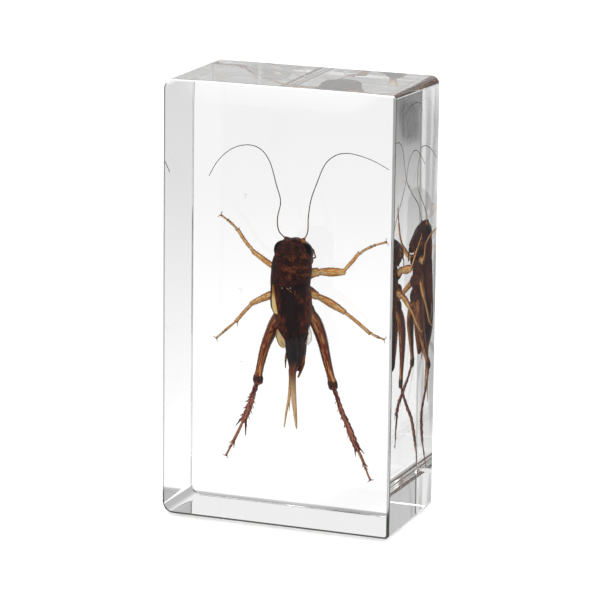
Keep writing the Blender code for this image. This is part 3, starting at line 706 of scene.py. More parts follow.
def dress(mesh, *looks):
    """Gives a mesh its materials and smooth shading."""
    mesh.materials.clear()
    for look in looks:
        mesh.materials.append(look)
    mesh.shade_smooth()


def place_mesh(name, mesh, *looks):
    """An object in the scene with this mesh."""
    dress(mesh, *looks)
    made = bpy.data.objects.new(name, mesh)
    bpy.context.scene.collection.objects.link(made)
    return made


def place_shape(name, shape, look):
    """An object in the scene with the mesh of this bmesh."""
    mesh = bpy.data.meshes.new(name)
    shape.to_mesh(mesh)
    shape.free()
    return place_mesh(name, mesh, look)


def applied(thing, look):
    """Turns an object's modifiers into its mesh."""
    graph = bpy.context.evaluated_depsgraph_get()
    mesh = bpy.data.meshes.new_from_object(thing.evaluated_get(graph))
    thing.modifiers.clear()
    old = thing.data
    thing.data = mesh
    bpy.data.meshes.remove(old)
    mesh.name = thing.name
    dress(mesh, look)
    return thing


def melted(thing, look, grain, rounds):
    """Melts a piece's overlapping parts into one skin of this grain in millimetres, and smooths it."""
    melt = thing.modifiers.new("melt", "REMESH")
    melt.mode = "VOXEL"
    melt.voxel_size = grain * MM
    ease = thing.modifiers.new("ease", "SMOOTH")
    ease.factor = 0.5
    ease.iterations = rounds
    return applied(thing, look)


def through(stations, steps):
    """The stations with steps points to each span, on a smooth curve through all of them."""
    rows = np.array([(*row, row[3]) if len(row) == 4 else row for row in stations], float)
    ends = np.vstack([rows[0] * 2 - rows[1], rows, rows[-1] * 2 - rows[-2]])
    smooth = []
    for before, start, end, after in zip(ends, ends[1:], ends[2:], ends[3:]):
        for t in np.arange(steps) / steps:
            point = start * 2 + (end - before) * t
            point = point + (before * 2 - start * 5 + end * 4 - after) * t**2
            point = point + (start * 3 - before - end * 3 + after) * t**3
            smooth.append(point / 2)
    return np.vstack([*smooth, rows[-1]])


class Growth(Nodes):
    """A Geometry Nodes tree with named sizes, which turns a mesh into a plain mesh of what grows on it."""

    KINDS = {float: "NodeSocketFloat", int: "NodeSocketInt"}

    def __init__(self, name, look, **sizes):
        super().__init__(bpy.data.node_groups.new(name, "GeometryNodeTree"))
        self.look = look
        self.sizes = sizes
        sockets = self.tree.interface
        sockets.new_socket("Geometry", in_out="INPUT", socket_type="NodeSocketGeometry")
        self.keys = {}
        for label, value in sizes.items():
            socket = sockets.new_socket(label, in_out="INPUT", socket_type=self.KINDS[type(value)])
            self.keys[label] = socket.identifier
        sockets.new_socket("Geometry", in_out="OUTPUT", socket_type="NodeSocketGeometry")
        outputs = self.tree.nodes.new("NodeGroupInput").outputs
        self.given = {socket.name: Value(self, socket) for socket in outputs}

    def cones(self, sprouts, lean, long, radius, sides, blunt=0.0):
        """A cone on each point, as long as the value long and pointing the way of lean."""
        sockets = {"Vertices": sides, "Radius Top": blunt, "Radius Bottom": 1.0, "Depth": 1.0}
        sockets = {"Points": sprouts, "Instance": self.add("GeometryNodeMeshCone", sockets)}
        sockets["Rotation"] = self.add("FunctionNodeAlignRotationToVector", {"Vector": lean}, axis="Z")
        sockets["Scale"] = self.vector(radius, radius, long)
        return self.add("GeometryNodeInstanceOnPoints", sockets)

    def grow(self, geometry, name, mesh):
        """Ends the tree with real pieces in their material, and gives what grows on this mesh."""
        real = self.add("GeometryNodeRealizeInstances", {"Geometry": geometry})
        done = self.add("GeometryNodeSetMaterial", {"Geometry": real, "Material": self.look})
        self.tree.links.new(done.socket, self.tree.nodes.new("NodeGroupOutput").inputs[0])
        thing = place_mesh(name, mesh)
        grown = thing.modifiers.new(self.tree.name, "NODES")
        grown.node_group = self.tree
        for label, value in self.sizes.items():
            grown[self.keys[label]] = value
        return applied(thing, self.look)


def whip(name, look, routes, radius, thin, ring, swell):
    """A ringed thread along each route, that thins towards its tip."""
    growth = Growth(name, look, Radius=radius * MM, Thin=thin, Ring=ring * MM, Swell=swell)
    given = growth.given
    curve = growth.add("GeometryNodeMeshToCurve", {"Mesh": given["Geometry"]})
    sockets = {"Curve": curve, "Length": given["Ring"]}
    curve = growth.add("GeometryNodeResampleCurve", sockets, mode="LENGTH")
    share = growth.add("GeometryNodeSplineParameter", out="Factor")
    index = growth.add("GeometryNodeSplineParameter", out="Index")
    taper = (1.0 - share * given["Thin"]) * (1.0 + growth.math("MODULO", index, 2.0) * given["Swell"])
    sockets = {"Resolution": THREAD_SIDES, "Radius": given["Radius"]}
    circle = growth.add("GeometryNodeCurvePrimitiveCircle", sockets)
    sockets = {"Curve": curve, "Profile Curve": circle, "Scale": taper, "Fill Caps": True}
    points, edges = [], []
    for route in routes:
        edges += [(len(points) + index, len(points) + index + 1) for index in range(len(route) - 1)]
        points += list(route)
    return growth.grow(growth.add("GeometryNodeCurveToMesh", sockets), name, mesh_of(name, points, edges))


def spikes(name, look, points, leans, lengths, radii):
    """A slim cone on each point, as long and as thick as given in millimetres, and leaning its own way."""
    growth = Growth(name, look, Thickness=1.0)
    sprouts = growth.add("GeometryNodeMeshToPoints", {"Mesh": growth.given["Geometry"]})
    lean, long = growth.named("lean", "FLOAT_VECTOR"), growth.named("long")
    thick = growth.named("thick") * growth.given["Thickness"]
    geometry = growth.cones(sprouts, lean, long, thick, SPINE_SIDES, SPINE_BLUNT)
    mesh = mesh_of(name, points)
    keep(mesh, "lean", leans)
    keep(mesh, "long", np.array(lengths, np.float32) * MM)
    keep(mesh, "thick", np.array(radii, np.float32) * MM)
    return growth.grow(geometry, name, mesh)


def bristles(name, look, skin, density, length, radius, seed):
    """Short stiff hairs all over a piece, which lean towards the tips of its limbs."""
    sizes = {"Density": density / MM**2, "Length": length * MM, "Radius": radius * MM, "Seed": seed}
    growth = Growth(name, look, **sizes)
    given = growth.given
    sockets = {"Mesh": given["Geometry"], "Density": given["Density"], "Seed": given["Seed"]}
    scatter = growth.add("GeometryNodeDistributePointsOnFaces", sockets)
    outward = Value(growth, scatter.socket.node.outputs["Normal"])
    sockets = {0: outward, 1: growth.named("way", "FLOAT_VECTOR")}
    lean = growth.add("ShaderNodeVectorMath", sockets, operation="ADD")
    sockets = {2: 0.5, 3: 1.0, "Seed": 3}
    long = growth.add("FunctionNodeRandomValue", sockets, 1, data_type="FLOAT") * given["Length"]
    geometry = growth.cones(scatter, lean, long, given["Radius"], BRISTLE_SIDES)
    return growth.grow(geometry, name, skin.data.copy())


def paint(red, green, blue):
    """A colour as a screen shows it, from 0 to 255, in linear light."""
    return tuple((part / 255) ** 2.2 for part in (red, green, blue))


def number(name, note, size, **more):
    """A setting, with its name, its description and its default. The next three are other kinds of it."""
    return FloatProperty(name=name, description=note, default=size, **more)


def measure(name, note, size):
    return number(name, note, size, unit="LENGTH")


def whole(name, note, size):
    return IntProperty(name=name, description=note, default=size)


def colour(name, note, shade):
    return FloatVectorProperty(name=name, description=note, default=shade, subtype="COLOR")


class BlockSettings(PropertyGroup):
    width: measure("Width", "Across the block", BLOCK_SIZE.x)
    depth: measure("Depth", "From the front face to the back", BLOCK_SIZE.y)
    height: measure("Height", "From the base to the top", BLOCK_SIZE.z)
    corner: measure("Corner radius", "Radius of the four edges that run from front to back", 1.6 * MM)
    polish: measure("Polished edge", "Radius of the edges around the front face", 0.4 * MM)
    back_polish: measure("Back edge", "Radius of the edges around the back face", 0.15 * MM)
    pillow: measure("Pillow", "Width of the soft curve inside the front's upper edge", 4.5 * MM)
    pillow_angle: number(
        "Pillow angle", "How far the front leans at its end", math.radians(14.0), unit="ROTATION"
    )
    # The edge grey is painted shade: it darkens the rounded edges to draw the dark lines along them.
    painted_edge_grey: number("Edge grey", "How much light the dull edges let in", 0.35, subtype="FACTOR")
    refraction: number("Refractive index", "How strongly the resin bends light", 1.57)
    tint: colour("Tint", "Colour of light after a long way through the resin", (0.945, 0.95, 0.945))
    absorption: number("Absorption", "How fast the resin takes up light, per metre", 20.0)


class StudioSettings(PropertyGroup):
    light: number("Light", "Strength of the even white light", 1.16)
    lens: number("Lens", "The camera's focal length in millimetres", 221.0)
    floor: colour("Floor", "The floor's colour", (0.92, 0.92, 0.92))
    floor_glow: number("Floor glow", "How much the floor lights itself, as on a light table", 0.3)
    backdrop: number("Backdrop", "How bright the resin sees the room behind the block", 0.9)
    front: number("Front of the room", "How bright the resin sees the room in front", 0.55)
    key: number("Key light", "How much brighter the soft box above the front is", 3.0)
    mirrored: number("Mirrored floor", "How bright the floor is in the resin's own gloss", 0.12)


class CricketSettings(PropertyGroup):
    shell: colour("Shell", "The body's main colour", paint(46, 27, 28))
    shell_patch: colour("Shell patches", "The body's red-brown patches", paint(92, 46, 38))
    wing: colour("Wing", "The forewings' main colour", paint(38, 29, 32))
    fleck: colour("Flecks", "The small light flecks of the shell", paint(146, 88, 50))
    membrane: colour("Membrane", "The pale strip of the left forewing", paint(252, 220, 150))
    amber: colour("Amber", "The thin parts' colour", paint(176, 112, 48))
    gold: colour("Gold", "The small legs' main colour", paint(248, 156, 74))
    gold_light: colour("Light gold", "The small legs' light streaks", paint(255, 214, 140))
    rust: colour("Rust", "The hind legs' main colour", paint(136, 60, 48))
    rust_light: colour("Light rust", "The hind legs' golden streaks", paint(240, 164, 92))
    # The rim colour is also painted shade along the sides of the small legs.
    rim: colour("Rim", "The dark edges of the small legs, the veins and the tails", paint(74, 40, 26))
    antenna: measure("Antenna radius", "Radius at an antenna's root", 0.1 * MM)
    segments: whole("Segments", "Segments between two of the abdomen's stations", 4)
    bristles: number("Bristles", "Bristles on a square millimetre of leg", 9.0)
    seed: whole("Seed", "Changes where the bristles grow", 4)


def floor_material(studio):
    """Plain pale paper with a faint cloudiness."""
    look = Look("pale_floor")
    pale = tuple(studio.floor)
    tone = look.mix(pale, tuple(part * 0.99 for part in pale), look.noise(look.here, 0.004, 2.0, 0.5))
    return look.done(tone, 0.9, 0.0, emission_color=(*pale, 1.0), emission_strength=studio.floor_glow)


def towards(look, reach, way, spread):
    """1 towards a compass way and 0 from spread degrees off it."""
    angle = math.radians(way)
    share = (look.x * math.sin(angle) - look.y * math.cos(angle)) / look.larger(reach, 1.0)
    return look.step(share, math.cos(math.radians(spread)), 1.0)


def sheet_material(block):
    """Brightest round the block, dim to the back right, dark to the front left and shaded under the block."""
    look = Look("light_sheet")
    x, y = look.x, look.y
    reach = look.distance(x, y)
    level = SHEET_LEVEL - look.step(reach, SHEET_NEAR, SHEET_FAR) * SHEET_FALL
    dark = towards(look, reach, DARK_WAY, DARK_SPREAD) * look.step(reach, DARK_NEAR, DARK_FAR)
    dim = towards(look, reach, DIM_WAY, DIM_SPREAD) * (reach * DIM_SLOPE + DIM_START)
    level = level * (1.0 - dark * DARK_DEPTH) * (1.0 - dim)
    # The patch lies on the way that the right face mirrors: how far along that way it is, and how far across.
    way = math.radians(DARK_WAY)
    away = x * math.sin(way) - y * math.cos(way)
    along = (away - PATCH_REACH) / PATCH_LENGTH
    across = (x * math.cos(way) + y * math.sin(way) - away * PATCH_LEAN - PATCH_ACROSS) / PATCH_WIDTH
    cloud = look.noise(look.stretch(look.here, (0.12, 0.02, 1.0)), 1.0, 2.0, 0.5)
    square = look.larger(look.absolute(along), look.absolute(across))
    near = (look.distance(along, across) + square) * 0.5 + cloud * 0.5
    level = level * (PATCH_LEVEL + (1.0 - PATCH_LEVEL) * look.step(near, PATCH_INNER, PATCH_OUTER))
    under = 1.0
    for part, size in ((x, block.width), (y, block.depth)):
        edge = size / MM / 2
        under = (1.0 - look.step(look.absolute(part), edge + SHADE_INNER, edge + SHADE_OUTER)) * under
    streak = look.noise(look.stretch(look.here, (0.06, 0.3, 1.0)), 1.0, 2.0, 0.5)
    return look.glow(level * (1.0 - under * (SHADE_DEPTH - SHADE_STREAK * look.step(streak, 0.4, 0.7))))


def mirror_material(studio):
    """Dark, so that the resin's gloss stays thin, and pale only near the block."""
    look = Look("mirror_sheet")
    near = 1.0 - look.step(look.distance(look.x, look.y), MIDDLE_NEAR, MIDDLE_FAR)
    return look.glow(studio.mirrored + near * (MIDDLE_LEVEL - studio.mirrored))


def dome_material(studio):
    """The room above the floor: bright behind the block and overhead, and dimmer in front."""
    look = Look("light_dome")
    reach = look.distance(look.x, look.y)
    front = look.step(look.y / look.larger(reach, 1.0), FRONT_START, FRONT_END)
    low = studio.backdrop + front * (studio.front - studio.backdrop)
    dim = towards(look, reach, DIM_WAY, DOME_DIM_SPREAD) * DOME_DIM_DEPTH
    height = look.z / (DOME_RADIUS / MM)
    high = look.step(height, HIGH_START, HIGH_END)
    key = towards(look, reach, KEY_WAY, KEY_SPREAD) * look.step(height, KEY_START, KEY_END)
    return look.glow(low * (1.0 - dim) * (1.0 - high) + high * HIGH_LEVEL + key * studio.key)


def card_material():
    """A dim card with soft upright streaks and lighter ends."""
    look = Look("side_card")
    streak = look.noise(look.stretch(look.here, (0.9, 1.0, 0.03)), 1.0, 1.0, 0.5)
    streak = look.step(streak, 0.42, 0.6)
    rim = look.step(look.z, CARD_HEIGHT - CARD_RIM, CARD_HEIGHT) + look.step(look.z, CARD_RIM, 0.0)
    return look.glow(look.clamp(CARD_LEVEL + CARD_STREAK * streak + rim * CARD_STREAK))


def side_card(block):
    """An upright card beside the left face, which only the right face's inner reflection meets."""
    shape = bmesh.new()
    bmesh.ops.create_grid(shape, x_segments=CARD_GRID[0], y_segments=CARD_GRID[1], size=0.5)
    right = -block.width / 2 - CARD_GAP * MM
    for corner in shape.verts:
        x, z = corner.co.x + 0.5, corner.co.y + 0.5
        corner.co = (right - CARD_WIDTH * MM * x, CARD_BACK * MM, CARD_HEIGHT * MM * z)
    return place_shape("side_card", shape, card_material())


def flat_sheet(name, drop, look):
    """A large flat sheet at this depth below the block."""
    shape = bmesh.new()
    bmesh.ops.create_grid(shape, x_segments=SHEET_GRID[0], y_segments=SHEET_GRID[1], size=FLOOR_SIZE / 2)
    bmesh.ops.translate(shape, verts=shape.verts, vec=(0.0, 0.0, -drop))
    return place_shape(name, shape, look)


def light_dome(look):
    """The room above the floor, seen from inside."""
    shape = bmesh.new()
    around, up = DOME_GRID
    bmesh.ops.create_uvsphere(shape, u_segments=around, v_segments=up, radius=DOME_RADIUS)
    bmesh.ops.reverse_faces(shape, faces=shape.faces)
    return place_shape("light_dome", shape, look)


def build_studio(studio, block):
    """The floor, the even light and the camera."""
    scene = bpy.context.scene
    scene.view_settings.view_transform = "Standard"
    scene.cycles.max_bounces = LIGHT_BOUNCES
    scene.cycles.transmission_bounces = LIGHT_BOUNCES
    scene.cycles.glossy_bounces = GLOSSY_BOUNCES

    world = bpy.data.worlds.new("even_light")
    world.use_nodes = True
    sky = world.node_tree.nodes["Background"]
    sky.inputs["Color"].default_value = (1.0, 1.0, 1.0, 1.0)
    sky.inputs["Strength"].default_value = studio.light
    scene.world = world

    floor = flat_sheet("floor", FLOOR_DROP, floor_material(studio))
    floor.visible_glossy = False
    floor.visible_transmission = False
    # Whether the resin's gloss sees each piece, and whether the light that goes through the resin does.
    seen = (
        (flat_sheet("light_sheet", SHEET_DROP, sheet_material(block)), False, True),
        (flat_sheet("mirror_sheet", MIRROR_DROP, mirror_material(studio)), True, False),
        (side_card(block), False, True),
        (light_dome(dome_material(studio)), True, True),
    )
    for thing, in_gloss, through_resin in seen:
        thing.visible_camera = False
        thing.visible_diffuse = False
        thing.visible_shadow = False
        thing.visible_volume_scatter = False
        thing.visible_glossy = in_gloss
        thing.visible_transmission = through_resin

    azimuth, elevation, roll = map(math.radians, (CAMERA_AZIMUTH, CAMERA_ELEVATION, CAMERA_ROLL))
    flat = math.cos(elevation)
    back = Vector((math.sin(azimuth) * flat, -math.cos(azimuth) * flat, math.sin(elevation)))
    level = Vector((math.cos(azimuth), math.sin(azimuth), 0.0))
    right = Matrix.Rotation(roll, 3, back) @ level
    lens = bpy.data.cameras.new("camera")
    lens.lens = studio.lens
    lens.sensor_width = CAMERA_SENSOR
    lens.clip_end = CAMERA_REACH
    camera = bpy.data.objects.new("camera", lens)
    turn = Matrix((right, back.cross(right), back)).transposed().to_4x4()
    camera.matrix_world = Matrix.Translation((Vector(CAMERA_TARGET) + back * CAMERA_DISTANCE) * MM) @ turn
    scene.collection.objects.link(camera)
    scene.camera = camera


def resin_material(block, name, grey=1.0):
    """Clear cast resin: see-through by plain values, with a faint tint in its depth; grey is painted shade.
    """
    look = Look(name)
    sockets = {"Color": (*block.tint, 1.0), "Density": block.absorption}
    volume = look.add("ShaderNodeVolumeAbsorption", sockets)
    look.fill(look.tree.nodes["Material Output"].inputs["Volume"], volume)
    return look.done((grey, grey, grey, 1.0), 0.0, 0.5, transmission_weight=1.0, ior=block.refraction)


def corner_circle(block, end, quarter, inset):
    """The middle and radius of a corner of the front's outline (end 0) or the back's, moved in by inset."""
    side, level = CORNER_SIDES[quarter]
    radius = max(block.corner * CORNER_SHARES[end][quarter] - inset, LEAST_CORNER * MM)
    middle_z = block.height / 2 + level * (block.height / 2 - inset - radius)
    return side * (block.width / 2 - inset - radius), middle_z, radius


def rim_point(block, end, column, inset):
    """A point and its outward direction on that outline."""
    quarter, turn, slide, _ = column
    x, z, radius = corner_circle(block, end, quarter, inset)
    way = (math.cos(turn), math.sin(turn))
    x += radius * way[0]
    if slide:
        x += slide * (corner_circle(block, end, quarter + 1, inset)[0] - x)
    return (x, z + radius * way[1]), way


def outline_columns():
    """Round the outline: the corner, the turn, how far along the upper edge, and the pillow's share there."""
    columns = []
    for quarter in range(len(CORNER_SIDES)):
        for step in range(CORNER_STEPS + 1):
            columns.append((quarter, math.pi / 2 * (quarter + step / CORNER_STEPS), 0.0, 0.0))
        for step in range(1, 0 if quarter else TOP_STEPS):
            slide = step / TOP_STEPS
            share = min(1.0, min(slide, 1.0 - slide) / PILLOW_FADE)
            columns.append((quarter, math.pi / 2, slide, share**2 * (3.0 - 2.0 * share)))
    return columns


def edge_profile(block, end, share):
    """From a flat face to its rim: how far in from the sides, how deep, and how far the skin leans.

    The front's upper edge has a soft pillow inside the rounding: share is how much of it there is.
    """
    polish = block.back_polish if end else block.polish
    lean = block.pillow_angle * share
    ease = block.pillow * math.tan(lean) / 2
    inner = polish * (1 - math.sin(lean))
    rows = []
    for step in range(PILLOW_STEPS):
        part = step / PILLOW_STEPS
        rows.append((inner + block.pillow * (1 - part), ease * part**2, lean * part))
    for step in range(EDGE_STEPS + 1):
        turn = lean + (math.pi / 2 - lean) * step / EDGE_STEPS
        rows.append((polish * (1 - math.sin(turn)), ease + polish * (math.cos(lean) - math.cos(turn)), turn))
    return rows


def build_block(block):
    """One closed block with rounded edges, whose flat faces keep their exact normals."""
    columns = outline_columns()
    profiles = (
        [edge_profile(block, 0, share) for _, _, _, share in columns],
        [edge_profile(block, 1, 0.0)[::-1]] * len(columns),
    )
    around, rows = len(columns), len(profiles[0][0])
    points, normals = [], []
    for loop in range(2 * rows):
        end, row = divmod(loop, rows)
        face = 1 if end else -1
        for column, profile in zip(columns, profiles[end]):
            inset, deep, lean = profile[row]
            (x, z), way = rim_point(block, end, column, inset)
            points.append((x, face * (block.depth / 2 - deep), z))
            normals.append((way[0] * math.sin(lean), face * math.cos(lean), way[1] * math.sin(lean)))
    mesh = bpy.data.meshes.new("resin_block")
    mesh.from_pydata(points, [], ring_faces(2 * rows, around))
    edges = resin_material(block, "resin_edges", block.painted_edge_grey)
    made = place_mesh("resin_block", mesh, resin_material(block, "clear_resin"), edges)
    # The rounded edges, all but the upper ones, take the grey resin: painted shade along the edges.
    for index, face in enumerate(mesh.polygons[: (2 * rows - 1) * around]):
        loop = min(index // around, 2 * rows - 2 - index // around)
        below = math.sin(columns[index % around][1]) < math.sqrt(0.5)
        face.material_index = int(below and PILLOW_STEPS <= loop < rows - 1)
    mesh.normals_split_custom_set_from_vertices(normals)
    return made


def patches(look, ovals):
    """1 inside any of these ovals, as seen from the front, and 0 outside them."""
    inside = 0.0
    for (middle_x, middle_z), (wide, high) in ovals:
        reach = look.distance((look.x - middle_x) / wide, (look.z - middle_z) / high)
        inside = look.larger(inside, 1.0 - look.step(reach, 0.5, 1.5))
    return inside


def shell_material(cricket, name, warm, more=0.0):
    """Dark polished cuticle, finely mottled red-brown, with amber flecks in the warm ovals."""
    look = Look(name)
    here, glow = look.here, patches(look, warm)
    cloud = look.noise(here, 1.2, 3.0, 0.6, 0.4)
    grain = look.noise(here, 3.2, 4.0, 0.7, 0.6)
    fine = look.noise(here, 4.6, 3.0, 0.6, 0.8)
    patch = look.step(cloud * 0.4 + grain * 0.6 + glow * 0.05, 0.49 - more, 0.6 - more)
    fleck = look.step(fine + glow * 0.07, 0.56, 0.66) * (glow * 0.6 + 0.2)
    shade = look.mix(look.mix(cricket.shell, cricket.shell_patch, patch), cricket.fleck, fleck)
    pits = look.bump(look.noise(here, 7.0, 2.0, 0.5))
    return look.done(shade, 0.4 + grain * 0.2, 0.06, normal=pits)


def leg_material(name, main, light, rim, streaks, stretch, shin=None):
    """Glassy limbs: dark joints, wavy light and dark streaks along the middle with painted highlights,
    painted shade at the sides.

    A hind leg is mottled instead, with a golden ribbon, a dark knee and shin between two heights, and a
    lighter foot.
    """
    look = Look(name)
    x, y, along = look.limb()
    side = look.absolute(x)
    wave = look.noise(look.here, 0.6, 2.0, 0.5)
    around = look.vector(x * 1.8 + wave * 2.0, y * 0.8, along * stretch)
    streak = look.noise(around, streaks, 4.0, 0.6, 0.5)
    dark = look.step(look.noise(look.stretch(around, (1.3, 1.3, 0.8)), streaks), 0.5, 0.64)
    joint = 1.0 - look.step(look.kept("end"), 0.0, 0.4)
    if shin:
        ribbon = look.absolute(x - wave * 1.6 + 0.55)
        inner = (1.0 - look.step(ribbon, 0.1, 0.7)) * 0.9
        middle = tuple((first * 2 + second) / 4 for first, second in zip(main, light))
        main = look.mix(main, middle, look.step(streak, 0.42, 0.6))
        highlight_share, shade = inner * 0.45, rim
    else:
        inner = 1.0 - look.step(side, 0.45, 0.85)
        highlight_share, shade = inner, tuple(part * 0.4 for part in main)
    # pale is a painted highlight: the palest streaks, as if lit through the middle of the limb.
    pale = tuple(0.3 + 0.7 * part for part in light)
    tone = look.mix(main, light, look.step(streak, 0.42, 0.56) * inner)
    tone = look.mix(tone, pale, look.step(streak, 0.53, 0.62) * highlight_share * (1.0 - dark))
    tone = look.mix(tone, shade, dark * 0.6)
    if shin:
        z = look.z
        top, bottom = shin
        plum = look.mix(paint(206, 130, 108), paint(104, 50, 48), look.step(streak + dark * 0.05, 0.42, 0.6))
        tone = look.mix(tone, plum, look.step(z, top, top - 0.3))
        foot = look.mix(paint(128, 70, 56), paint(204, 132, 94), look.step(streak, 0.46, 0.58))
        tone = look.mix(tone, foot, look.step(z, bottom, bottom - 0.3))
        knee = look.step(z, top + 0.65, top + 0.3) * (1.0 - look.step(z, top - 0.3, top - 1.0))
        joint = look.larger(joint, knee)
    # Painted shade: the limb darkens towards its sides as seen from the front, as a see-through limb does.
    painted_edge_shade = look.step(side, 0.76, 0.98) if shin else look.step(side, 0.66, 0.95)
    tone = look.mix(tone, rim, look.clamp(painted_edge_shade * 0.8 + joint * 0.85))
    return look.done(tone, 0.3 + streak * 0.2, 0.2, normal=look.bump(streak, 0.08))


def plain_material(name, tone, other, scale, roughness, shine=0.2):
    """A small part's finish, clouded between two colours."""
    look = Look(name)
    cloud = look.step(look.noise(look.here, scale, roughness=0.5), 0.35, 0.65)
    return look.done(look.mix(tone, other, cloud), roughness + cloud * 0.1, shine)


def ride_as_cricket(*things):
    """Hangs pieces on the root and hides the CAD cricket that they stand for."""
    for thing in things:
        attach(thing, "root")
        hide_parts("cricket")


def build_head(cricket):
    """The head with its cheeks and mouthparts, the eyes, the palps and the antennae's sockets."""
    skull = Shape()
    middle_x = HEAD[-1][0]
    other_side = [[(2 * middle_x - x, *rest) for x, *rest in rows] for rows in (MANDIBLE, CHEEK)]
    for rows in (HEAD, FOREHEAD, LIP, MANDIBLE, CHEEK, *other_side):
        skull.loft(rows, "head", UP)
    head = melted(skull.finish("head"), shell_material(cricket, "head_shell", HEAD_WARM), *HEAD_MELT)
    eyes = Shape()
    for middle, radii in zip(EYES, EYE_RADII):
        eyes.ball(middle, radii, "eye")
    black = plain_material("eye_black", paint(16, 15, 18), paint(26, 21, 22), 3.0, 0.2, 0.03)
    eyes = eyes.finish("eyes", black)
    brown = plain_material("palp_brown", cricket.amber, cricket.rim, 1.5, 0.45)
    palps = limbs("palps", brown, PALPS, "palp")
    joints = []
    for route in ANTENNAE:
        root = np.array(route[0])
        way = unit(np.array(route[1]) - root)
        for joint in (SOCKET, ANTENNA_JOINT):
            joints.append([(*(root + way * reach), radius, radius) for reach, radius in joint])
    amber = plain_material("root_amber", cricket.amber, paint(96, 54, 30), 1.2, 0.4)
    return [head, eyes, palps, limbs("antenna_roots", amber, joints, "socket")]


def abdomen_stations(segments):
    """Segments that widen towards their rear edges and overlap the next like tiles."""
    curve = through(ABDOMEN, segments)
    stations = []
    for front, rear in zip(curve, curve[1:]):
        for share, out in SEGMENT_RINGS:
            lip = np.array((0, 0, 0, 1, 1)) * SEGMENT_STEP * out
            stations.append(front + (rear - front) * share + lip)
    return [*stations, curve[-1]]


def build_trunk(cricket):
    """The neck shield, the thorax with the hips, the abdomen and the two tail feelers."""
    shield = limbs("neck_shield", shell_material(cricket, "shield_shell", SHIELD_WARM), [PRONOTUM], "shield")
    chest = Shape()
    chest.loft(THORAX, "chest")
    for rows in HIPS.values():
        chest.loft(rows, "hip")
    shell = shell_material(cricket, "chest_shell", CHEST_WARM, 0.06)
    chest = melted(chest.finish("thorax"), shell, *CHEST_MELT)
    belly = limbs("abdomen", belly_material(cricket), [abdomen_stations(cricket.segments)], "abdomen")
    amber = plain_material("feeler_amber", cricket.amber, paint(110, 62, 34), 1.2, 0.45)
    return [shield, chest, belly, limbs("tail_feelers", amber, CERCI, "feeler")]


def belly_material(cricket):
    """Dark above and paler below."""
    look = Look("belly")
    cloud = look.noise(look.here, 1.1, distortion=0.4)
    under = look.step(look.limb()[1] + cloud * 0.5 - 0.25, 0.1, 0.75)
    tone = look.mix(cricket.shell, cricket.shell_patch, look.step(cloud, 0.45, 0.65))
    tone = look.mix(tone, cricket.amber, under * 0.75)
    bump = look.bump(look.noise(look.here, 5.0, roughness=0.5))
    return look.done(tone, 0.45 + cloud * 0.2, 0.2, normal=bump)


def wing_rings(rows):
    """A forewing's surface, as rows of points from the inner edge over the shoulder and down the flank."""
    table = through(rows, WING_STEPS)
    turns = np.linspace(0.0, math.pi / 2, WING_SIDES)
    out = np.sin(turns) ** (2 / WING_BEND)
    down = 1 - np.cos(turns) ** (2 / WING_BEND)
    level, inner, outer, top, hang = [table[:, column, None] for column in range(5)]
    x = inner + (outer - inner) * out
    return np.stack([x, top + hang * down, level + 0 * x], axis=2)


def wing_material(cricket, name, strip):
    """A dark leathery wing, netted with fine cells and warm in ovals, with the pale strip on one of them."""
    look = Look(name)
    out, share, along = look.limb()
    glow = patches(look, WING_WARM)
    cloud = look.noise(look.here, 0.7, distortion=0.5)
    grain = look.noise(look.stretch(look.here, (1.7, 1.0, 0.5)), 2.0, 4.0, 0.65, 0.5)
    sockets = {"Vector": look.vector(out * 1.4, 0.0, along * 0.6), "Scale": 1.6, "Randomness": 0.8}
    vein = 1.0 - look.step(look.add("ShaderNodeTexVoronoi", sockets, feature="DISTANCE_TO_EDGE"), 0.0, 0.09)
    spare = look.step(cloud * 0.5 + grain * 0.5, 0.54, 0.66) * 0.5
    patch = look.larger(spare, glow * look.step(grain, 0.34, 0.56))
    tone = look.mix(cricket.wing, cricket.shell_patch, patch)
    tone = look.mix(tone, cricket.fleck, look.step(grain + glow * 0.05, 0.58, 0.7) * (glow * 0.5 + 0.05))
    tone = look.mix(tone, cricket.rim, vein * 0.25)
    if strip:
        tone = pale_strip(look, cricket, tone, share, cloud)
    return look.done(tone, 0.4 + grain * 0.2, 0.06, normal=look.bump(vein))


def pale_strip(look, cricket, tone, share, cloud):
    """The thin membrane inside the wing's folded edge: amber at the top, pale gold below, with a dark rim."""
    z = look.z
    low, high, slope, start, fold = STRIP
    inside = look.step(start + (high - z) * slope + cloud * 0.3 - look.x, 0.1, 0.4)
    inside = inside * look.step(z, low, low + 0.5) * (1.0 - look.step(z, high - 0.5, high))
    inside = inside * (1.0 - look.step(share, fold, fold + 0.03))
    pale = look.mix(cricket.membrane, cricket.amber, look.step(z + cloud * 1.5, 37.2, 39.0))
    pale = look.mix(cricket.amber, pale, look.step(inside, 0.3, 0.9))
    return look.mix(tone, pale, look.step(inside, 0.0, 0.4))


def build_forewing(name, rows, look):
    """One leathery forewing as a thin plate."""
    rings = wing_rings(rows)
    places = np.empty(rings.shape)
    steps = np.diff(rings, axis=1, prepend=rings[:, :1])
    places[:, :, 0] = np.cumsum(np.linalg.norm(steps, axis=2), axis=1)
    places[:, :, 1] = np.linspace(0.0, 1.0, WING_SIDES)
    along = np.cumsum(np.linalg.norm(np.diff(rings[:, 0], axis=0, prepend=rings[:1, 0]), axis=1))
    places[:, :, 2] = along[:, None]
    shape = Shape()
    shape.skin(rings, places, along, np.repeat([[0.0, 0.0, -1.0]], len(rings), axis=0), closed=False)
    wing = shape.finish(name, look)
    thick = wing.modifiers.new("thick", "SOLIDIFY")
    thick.thickness = WING_THICK * MM
    thick.offset = 0.0
    return applied(wing, look)


